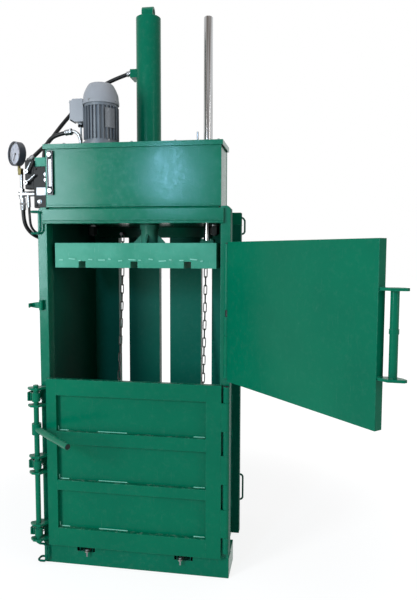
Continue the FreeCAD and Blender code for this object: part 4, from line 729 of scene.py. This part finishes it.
# The oil tank: a box of welded sheet with a folded lid, screwed down, standing on the front beam
# along a run of weld. Its front keeps the long soft reflections of a flat glossy panel, over a
# seam just above its foot. The valves' bracket beside it is scuffed by hands, in the platen's pale
# enamel, whose paleness is partly a painted highlight.
for name, edge in (("tank", 0.002), ("tank_lid", 0.0015)):
    dress(name, front_green, edge)
dress("valve_bracket", scuff_and_sheen_green, 0.0008)
tank_low, tank_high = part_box("tank")
lid_low, lid_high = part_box("tank_lid")
LID_SHEET = 0.005
lid_top = tank_high.z + LID_SHEET
seam_z = tank_low.z + 0.009
bead("tank_seam", "frame",
     [[(tank_low.x + 0.004, tank_low.y, seam_z), (tank_high.x - 0.004, tank_low.y, seam_z)]],
     0.0022, green)
weld_y, weld_z = tank_low.y + 0.012, (beam_high.z + tank_low.z) / 2
bead("tank_foot_weld", "frame",
     [[(tank_low.x + 0.01, weld_y, weld_z), (tank_high.x - 0.01, weld_y, weld_z)]],
     tank_low.z - beam_high.z + 0.003, green)
runs = []
for x in (tank_low.x, tank_high.x):
    for y in (tank_low.y + 0.001, tank_high.y - 0.001):
        runs.append([(x, y, tank_low.z + 0.003), (x, y, lid_low.z)])
bead("tank_corner_welds", "frame", runs, 0.003, green)
INSET, MIDDLE_SCREWS_X = 0.022, (-0.320, 0.0, 0.2)
set_out(hex_screw(0.010), "lid_screws", "frame", zinc,
        [Matrix.Translation((x, y, lid_top)) for y in (lid_low.y + INSET, lid_high.y - INSET)
         for x in (lid_low.x + INSET, *MIDDLE_SCREWS_X, lid_high.x - INSET)])
BREATHER, RIMS_UP = (-0.262, -0.175), (0.017, 0.0235, 0.030)
rim = turned_piece(40, [(0.0235, 0), (0.0245, 0.001), (0.0245, 0.004), (0.0235, 0.005)])
set_out(rim, "breather_rims", "frame", green,
        [Matrix.Translation((*BREATHER, lid_top + up)) for up in RIMS_UP])

# Level gauge on the tank's left: a black frame round a milky tube, held by two bright round
# nuts, with a thin pale line round its face and level marks beside the tube. Paint on small
# parts is a plain coat, a little uneven in tone, with a fine grain.
def painted(name, tint, dull, patches, roughness, specular=0.5):
    """A sprayed coat whose tone varies in patches, over a grain of 2 mm."""
    material, tree = blank(name)
    where = add(tree, "ShaderNodeTexCoord", {})
    grain = add(tree, "ShaderNodeTexNoise", {"Scale": 500.0, "Detail": 4.0},
                {"Vector": where.outputs["Object"]})
    cloud = add(tree, "ShaderNodeTexNoise", {"Scale": patches, "Detail": 4.0},
                {"Vector": where.outputs["Object"]})
    tone = add(tree, "ShaderNodeMix", {"data_type": "RGBA", 6: colour(tint), 7: colour(dull)},
               {0: cloud.outputs["Fac"]})
    bump = add(tree, "ShaderNodeBump", {"Strength": 0.35, "Distance": 0.00018},
               {"Height": grain.outputs["Fac"]})
    shader = add(tree, "ShaderNodeBsdfPrincipled",
                 {"Roughness": roughness, "IOR": 1.5, "Specular IOR Level": specular},
                 {"Base Color": tone.outputs[2], "Normal": bump.outputs[0]})
    add(tree, "ShaderNodeOutputMaterial", {}, {"Surface": shader.outputs[0]})
    return material


black = painted("satin_black_paint", "#060708", "#101213", 60.0, 0.34, 0.09)
for name, edge in (("valve_block", 0.003), ("level_frame", 0.001), ("motor_fan", 0), ("gauge_needle", 0)):
    dress(name, black, edge)
# one white, half glossy and faintly cloudy: the milky tube, the line and marks, and the bare plate
# on the valve block
white = mottled("white_dial_enamel", "#f2f3f6", "#e2e4ea", 60.0, 3.0, 0.3)
dress("level_glass", white, 0.001)
level_low, level_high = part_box("level_frame")
glass_low, glass_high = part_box("level_glass")
level_x = (level_low.x + level_high.x) / 2
NUT_IN = 0.018
nut = turned_piece(32, [(0.0105, 0), (0.0110, 0.001), (0.0110, 0.008), (0.0098, 0.0095),
                        (0.0045, 0.0098), (0.0035, 0.0085)])
set_out(nut, "level_nuts", "frame", zinc,
        [towards((level_x, level_low.y, z), (0, -1, 0))
         for z in (level_low.z + NUT_IN, level_high.z - NUT_IN)])
face = level_low.y - 0.0001
LINE_IN = 0.0022
left, right = level_low.x + LINE_IN, level_high.x - LINE_IN
low, high = level_low.z + LINE_IN, level_high.z - LINE_IN
corners = [(left, face, low), (right, face, low), (right, face, high), (left, face, high)]
bead("level_frame_line", "frame", [corners + corners[:1]], 0.0011, white)
MARKS, MARK_IN, MARK_GAP, LONG_MARK, SHORT_MARK = 8, 0.012, 0.0008, 0.0045, 0.0028
marks = []
for k in range(MARKS + 1):
    z = glass_low.z + MARK_IN + k * (glass_high.z - glass_low.z - 2 * MARK_IN) / MARKS
    reach = LONG_MARK if k % 4 == 0 else SHORT_MARK
    marks.append([(glass_high.x + MARK_GAP, face, z), (glass_high.x + MARK_GAP + reach, face, z)])
bead("level_marks", "frame", marks, 0.0009, white)

# The motor: a finned cast body in satin grey paint, and a paler pressed cowl over its fan, whose
# domed top is slotted for air. Screws hold both. A terminal box with a screwed lid stands out on
# its left, and a bare plate is bent round its fins.
fin_grey = painted("grey_motor_paint", "#575c62", "#6e7379", 14.0, 0.4, 0.35)
pale_grey = painted("pale_cowl_paint", "#7f8186", "#929499", 14.0, 0.42, 0.3)
dress("motor_body", fin_grey)
dress("terminal_box", pale_grey, 0.001)
cover_low, cover_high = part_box("fan_cover")
motor_x, motor_y = (cover_low.x + cover_high.x) / 2, (cover_low.y + cover_high.y) / 2
cover_r = (cover_high.x - cover_low.x) / 2
TOP_R, HUB_R, SLATS, COWL_SHEET = 0.050, 0.015, 48, 0.0012
COWL = ((0.0815, 0), (0.0840, 0.002), (0.0840, 0.013), (0.0826, 0.018), (0.0808, 0.040),
        (0.0775, 0.053), (0.0690, 0.072), (0.0600, 0.088), (0.0550, 0.0935), (TOP_R, 0.0955),
        (HUB_R, 0.0960))
cowl = turned_piece(SLATS, [(radius, cover_low.z + up) for radius, up in COWL])
mesh = bmesh.new()
mesh.from_mesh(cowl.data)
cut = []
for f in mesh.faces:
    place = f.calc_center_median()
    if f.normal.z < -0.9 and place.xy.length < 0.001:
        cut.append(f)
    elif f.normal.z > 0.9 and HUB_R < place.xy.length < TOP_R:
        if round(math.atan2(place.y, place.x) / (2 * math.pi) * SLATS - 0.5) % 2:
            cut.append(f)
bmesh.ops.delete(mesh, geom=cut, context="FACES")
mesh.to_mesh(cowl.data)
mesh.free()
sheet = cowl.modifiers.new("sheet", "SOLIDIFY")
sheet.thickness = COWL_SHEET
sheet.offset = -1
bpy.ops.object.modifier_apply(modifier="sheet")
cowl.data.transform(Matrix.Translation((motor_x, motor_y, 0)))
settle(cowl, "motor_cowl", "frame", pale_grey, 40)
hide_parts("fan_cover")
FLANGE_UP, SCREW_CIRCLE = 0.012, 0.0765
flange_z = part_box("motor_body")[0].z + FLANGE_UP
spots = []
for k in range(4):
    angle = math.radians(45 + 90 * k)
    spots.append(Matrix.Translation((motor_x + SCREW_CIRCLE * math.cos(angle),
                                     motor_y + SCREW_CIRCLE * math.sin(angle), flange_z)))
set_out(hex_screw(0.010), "motor_flange_screws", "frame", zinc, spots)
spots = []
for angle in (-20, -110, 70):
    out = Vector((math.cos(math.radians(angle)), math.sin(math.radians(angle)), 0))
    spots.append(towards(Vector((motor_x, motor_y, cover_low.z + 0.011)) + out * (cover_r - 0.0005), out))
set_out(hex_screw(0.007), "cowl_screws", "frame", zinc, spots)
box_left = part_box("terminal_box")[0].x
LID_Z, LID_H, LID_W, LID_T = 2.1505, 0.092, 0.070, 0.004
lid = small_block((box_left - LID_T, motor_y - LID_W / 2, LID_Z - LID_H / 2),
                  (box_left + 0.0005, motor_y + LID_W / 2, LID_Z + LID_H / 2), 0.0014)
settle(lid, "terminal_lid", "frame", pale_grey)
GLAND_AT = (-0.272, -0.240)
gland = turned_piece(6, [(0.0125, 2.080), (0.0135, 2.081), (0.0135, 2.092), (0.0125, 2.093)])
set_out(gland, "cable_gland_nut", "frame", black, [Matrix.Translation((*GLAND_AT, 0))])
set_out(hex_screw(0.006), "terminal_screws", "frame", zinc,
        [towards((box_left - LID_T, motor_y + side * 0.028, LID_Z + up * 0.038), (-1, 0, 0))
         for side in (-1, 1) for up in (-1, 1)])
# the plate: its one end is modelled, turned to its place and spun round the motor's axis
PLATE_FROM, PLATE_ARC, PLATE_Z, PLATE_R = -58, 34, (2.062, 2.150), (0.0822, 0.0830)
plate = small_block((motor_x + PLATE_R[0], motor_y - 0.0005, PLATE_Z[0]),
                    (motor_x + PLATE_R[1], motor_y + 0.0005, PLATE_Z[1]), 0.0001)
turned = Matrix.Rotation(math.radians(PLATE_FROM), 4, "Z")
plate.data.transform(Matrix.Translation((motor_x, motor_y, 0)) @ turned
                     @ Matrix.Translation((-motor_x, -motor_y, 0)))
side_way = Vector((-math.sin(math.radians(PLATE_FROM)), math.cos(math.radians(PLATE_FROM)), 0))
bpy.ops.object.mode_set(mode="EDIT")
bpy.ops.mesh.select_all(action="DESELECT")
mesh = bmesh.from_edit_mesh(plate.data)
for f in mesh.faces:
    f.select = f.normal.dot(side_way) > 0.99
bmesh.update_edit_mesh(plate.data)
bpy.ops.mesh.spin(steps=14, angle=-math.radians(PLATE_ARC), center=(motor_x, motor_y, 0), axis=(0, 0, 1))
bpy.ops.mesh.select_all(action="SELECT")
bpy.ops.mesh.remove_doubles(threshold=0.00001)
bpy.ops.mesh.normals_make_consistent(inside=False)
bpy.ops.object.mode_set(mode="OBJECT")
brushed = plated("brushed_aluminium_plate", "#6a6e73", "#53575b", 0.35, 0.5)
settle(plate, "bare_motor_plate", "frame", brushed)

# Machined cast iron, dull grey where it was turned: gland, pump and rotor. The union under the gauge is
# turned brass that has tarnished brown.
iron = plated("machined_cast_iron", "#6a6c6e", "#4c4e50", 0.35, 0.55)
for name in ("cylinder_gland", "pump", "motor_rotor"):
    dress(name, iron)
dress("gauge_stem", plated("turned_brass", "#6d6443", "#4b442d", 0.45, 0.62))

# The valve block: two cast blocks in satin black with cap screws, bright hexagon plugs and a
# bare white plate.
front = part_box("valve_block")[0].y
forward = (0, -1, 0)
CAPS_X, CAPS_Z = (-0.487, -0.424), (1.718, 1.888)
set_out(socket_screw(0.005), "block_cap_screws", "frame", black,
        [towards((x, front, z), forward) for x in CAPS_X for z in CAPS_Z])
PLUGS = ((-0.437, 1.862), (-0.437, 1.836), (-0.470, 1.735))
set_out(hex_screw(0.014), "block_plugs", "frame", zinc,
        [towards((x, front, z), forward) for x, z in PLUGS])
plate = small_block((-0.485, front - 0.0024, 1.765), (-0.439, front + 0.0004, 1.801), 0.0008)
settle(plate, "bare_block_plate", "frame", white)

# The pressure gauge: a dark grey case with a bezel ring, a pale enamelled dial with plain printed
# marks and figures, a black pointer and clear glass. It faces forward and to the left.
centre = Vector(joints["gauge_needle_turn"]["pos_m"])
out = Vector(joints["gauge_needle_turn"]["axis"]).normalized()
up = Vector((0, 0, 1))
dial = Matrix.Translation(centre) @ Matrix((up.cross(out), up, out)).transposed().to_4x4()
dress("gauge_dial", painted("pale_dial_enamel", "#b4b7c2", "#a6a9b6", 60.0, 0.4, 0.3))
case_grey = painted("dark_gauge_case", "#2c2f35", "#3b3e45", 30.0, 0.35, 0.3)
dress("gauge_case", case_grey, 0.001)
bezel = turned_piece(64, [(0.0575, 0.0042), (0.0575, 0.0056), (0.0562, 0.0064), (0.0528, 0.0060),
                          (0.0513, 0.0042)])
bpy.ops.object.mode_set(mode="EDIT")
bpy.ops.mesh.select_all(action="DESELECT")
mesh = bmesh.from_edit_mesh(bezel.data)
caps = [f for f in mesh.faces if f.calc_center_median().xy.length < 0.02]
bmesh.ops.delete(mesh, geom=caps, context="FACES")
bmesh.update_edit_mesh(bezel.data)
bpy.ops.mesh.select_non_manifold()
bpy.ops.mesh.bridge_edge_loops()
bpy.ops.mesh.select_all(action="SELECT")
bpy.ops.mesh.normals_make_consistent(inside=False)
bpy.ops.object.mode_set(mode="OBJECT")
bezel.data.transform(dial)
settle(bezel, "gauge_bezel", "frame", case_grey)
# flat black printing ink
ink = mottled("printed_black_ink", "#15161a", "#25272c", 900.0, 2.0, 0.6, 1.45)
ZERO, SWEEP, DIVISIONS, NUMBERED = 235, 250, 25, 5
DIAL_FACE, MARKS_R, FIGURES_R, FIGURE_H = -0.005, 0.0465, 0.0315, 0.0105
for name, every, length, width in (("dial_marks", 1, 0.0035, 0.0005),
                                   ("dial_long_marks", NUMBERED, 0.0075, 0.0011)):
    mark = small_block((MARKS_R - length, -width / 2, DIAL_FACE - 0.0002),
                       (MARKS_R, width / 2, DIAL_FACE + 0.0002), 0.00005)
    turns = [Matrix.Rotation(math.radians(ZERO - SWEEP * k / DIVISIONS), 4, "Z")
             for k in range(0, DIVISIONS + 1, every)]
    set_out(mark, name, "frame", ink, [dial @ turn for turn in turns])
figures = []
for figure in range(0, DIVISIONS + 1, NUMBERED):
    angle = math.radians(ZERO - SWEEP * figure / DIVISIONS)
    place = Vector((FIGURES_R * math.cos(angle), FIGURES_R * math.sin(angle), DIAL_FACE + 0.0002))
    bpy.ops.object.select_all(action="DESELECT")
    bpy.ops.object.text_add(location=(0, 0, 0))
    label = bpy.context.object
    label.data.body = str(figure)
    label.data.size = FIGURE_H
    label.data.extrude = 0.0001
    label.data.align_x = "CENTER"
    label.data.align_y = "CENTER"
    bpy.ops.object.convert(target="MESH")
    label = bpy.context.object
    label.data.transform(dial @ Matrix.Translation(place))
    figures.append(label)
settle(joined(figures), "dial_figures", "frame", ink)
# clear glass with a smear or two; it is drawn with a low IOR so that the thin pane hardly bends
# the dial behind it
material, tree = blank("clear_gauge_glass")
where = add(tree, "ShaderNodeTexCoord", {})
smear = add(tree, "ShaderNodeTexNoise", {"Scale": 25.0, "Detail": 3.0}, {"Vector": where.outputs["Object"]})
rough = add(tree, "ShaderNodeMapRange", {"To Min": 0.02, "To Max": 0.08}, {"Value": smear.outputs["Fac"]})
shader = add(tree, "ShaderNodeBsdfPrincipled",
             {"IOR": 1.2, "Transmission Weight": 1.0, "Base Color": colour("#fdfefe")},
             {"Roughness": rough.outputs[0]})
add(tree, "ShaderNodeOutputMaterial", {}, {"Surface": shader.outputs[0]})
dress("gauge_glass", material)

# Hydraulic hoses: black rubber, satin, with the marks of the cloth it was cured in, and the
# motor's thin cable in a smooth grey sheath. Each goes from its fitting along the route that the
# machine's own solid takes.
material, tree = blank("black_hose_rubber")
where = add(tree, "ShaderNodeTexCoord", {})
wrap = add(tree, "ShaderNodeTexNoise", {"Scale": 480.0, "Detail": 3.0},
           {"Vector": where.outputs["Object"]})
tone = add(tree, "ShaderNodeMix", {"data_type": "RGBA", 6: colour("#050506"), 7: colour("#0f1011")},
           {0: wrap.outputs["Fac"]})
bump = add(tree, "ShaderNodeBump", {"Strength": 0.5, "Distance": 0.0002},
           {"Height": wrap.outputs["Fac"]})
shader = add(tree, "ShaderNodeBsdfPrincipled",
             {"Roughness": 0.42, "IOR": 1.52, "Specular IOR Level": 0.25},
             {"Base Color": tone.outputs[2], "Normal": bump.outputs[0]})
add(tree, "ShaderNodeOutputMaterial", {}, {"Surface": shader.outputs[0]})
rubber = material
sheath = mottled("grey_cable_sheath", "#a9adb0", "#c3c6c8", 90.0, 2.0, 0.45)


def hose(name, points, diameter, finish):
    curve = bpy.data.curves.new(name + "_line", "CURVE")
    curve.dimensions = "3D"
    curve.bevel_depth = diameter / 2
    curve.bevel_resolution = 5
    curve.resolution_u = 16
    curve.use_fill_caps = True
    spline = curve.splines.new("NURBS")
    spline.points.add(len(points) - 1)
    for point, place in zip(spline.points, points):
        point.co = (*place, 1)
    spline.order_u = 3
    spline.use_endpoint_u = True
    curve.materials.append(finish)
    made = bpy.data.objects.new(name + "_line", curve)
    bpy.context.collection.objects.link(made)
    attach(made, "frame")
    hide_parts(name)


HOSE_D, THIN_HOSE_D, CABLE_D = 0.019, 0.012, 0.009
lift = [(-0.112, -0.030, 2.375), (-0.235, -0.040, 2.335), (-0.350, -0.065, 2.228),
        (-0.430, -0.102, 2.122), (-0.468, -0.155, 2.036), (-0.498, -0.210, 1.980),
        (-0.516, -0.234, 1.950)]
tank_line = [(-0.332, -0.280, 2.048), (-0.392, -0.274, 2.040), (-0.440, -0.252, 2.005),
             (-0.462, -0.236, 1.962), (-0.463, -0.230, 1.918)]
press = [(-0.570, -0.240, 1.699), (-0.570, -0.240, 1.644), (-0.5531, -0.2171, 1.5946),
         (-0.5237, -0.1774, 1.5661), (-0.4899, -0.1315, 1.5661), (-0.4605, -0.0918, 1.5946),
         (-0.4436, -0.0689, 1.644), (-0.4436, -0.0689, 1.701), (-0.4154, -0.0657, 1.748),
         (-0.3667, -0.060, 1.776), (-0.2775, -0.049, 1.784), (-0.190, -0.038, 1.779),
         (-0.112, -0.030, 1.764)]
drain = [(-0.540, -0.240, 1.712), (-0.5386, -0.239, 1.662), (-0.5348, -0.2362, 1.6173),
         (-0.5155, -0.2223, 1.5889), (-0.4866, -0.2016, 1.5787), (-0.4582, -0.1811, 1.5908),
         (-0.441, -0.1687, 1.6211), (-0.441, -0.1687, 1.6691)]
cable = [(-0.272, -0.240, 2.079), (-0.272, -0.240, 2.050), (-0.269, -0.240, 2.022),
         (-0.269, -0.240, 1.994)]
hose("hose_lift", lift, HOSE_D, rubber)
hose("hose_tank", tank_line, HOSE_D, rubber)
hose("hose_press", press, HOSE_D, rubber)
hose("hose_drain", drain, THIN_HOSE_D, rubber)
hose("motor_cable", cable, CABLE_D, sheath)

# Crimped ferrules: a zinc-plated shell squeezed on each hose end in three bands, with the
# hexagon of the screwed union behind it.
shell = turned_piece(32, [(0.0126, 0), (0.0134, 0.001), (0.0134, 0.006), (0.0128, 0.0075),
                          (0.0134, 0.009), (0.0134, 0.014), (0.0128, 0.0155), (0.0134, 0.017),
                          (0.0134, 0.022), (0.0128, 0.0235)])
union = turned_piece(6, [(0.0148, 0.0235), (0.0155, 0.0245), (0.0155, 0.0335), (0.0148, 0.0345)])
spots = []
for end, before in ((lift[0], lift[1]), (lift[-1], lift[-2]), (tank_line[0], tank_line[1]),
                    (tank_line[-1], tank_line[-2]), (press[0], press[1]), (press[-1], press[-2])):
    spots.append(towards(end, Vector(end) - Vector(before)))
set_out(joined([shell, union]), "hose_ferrules", "frame", zinc, spots)
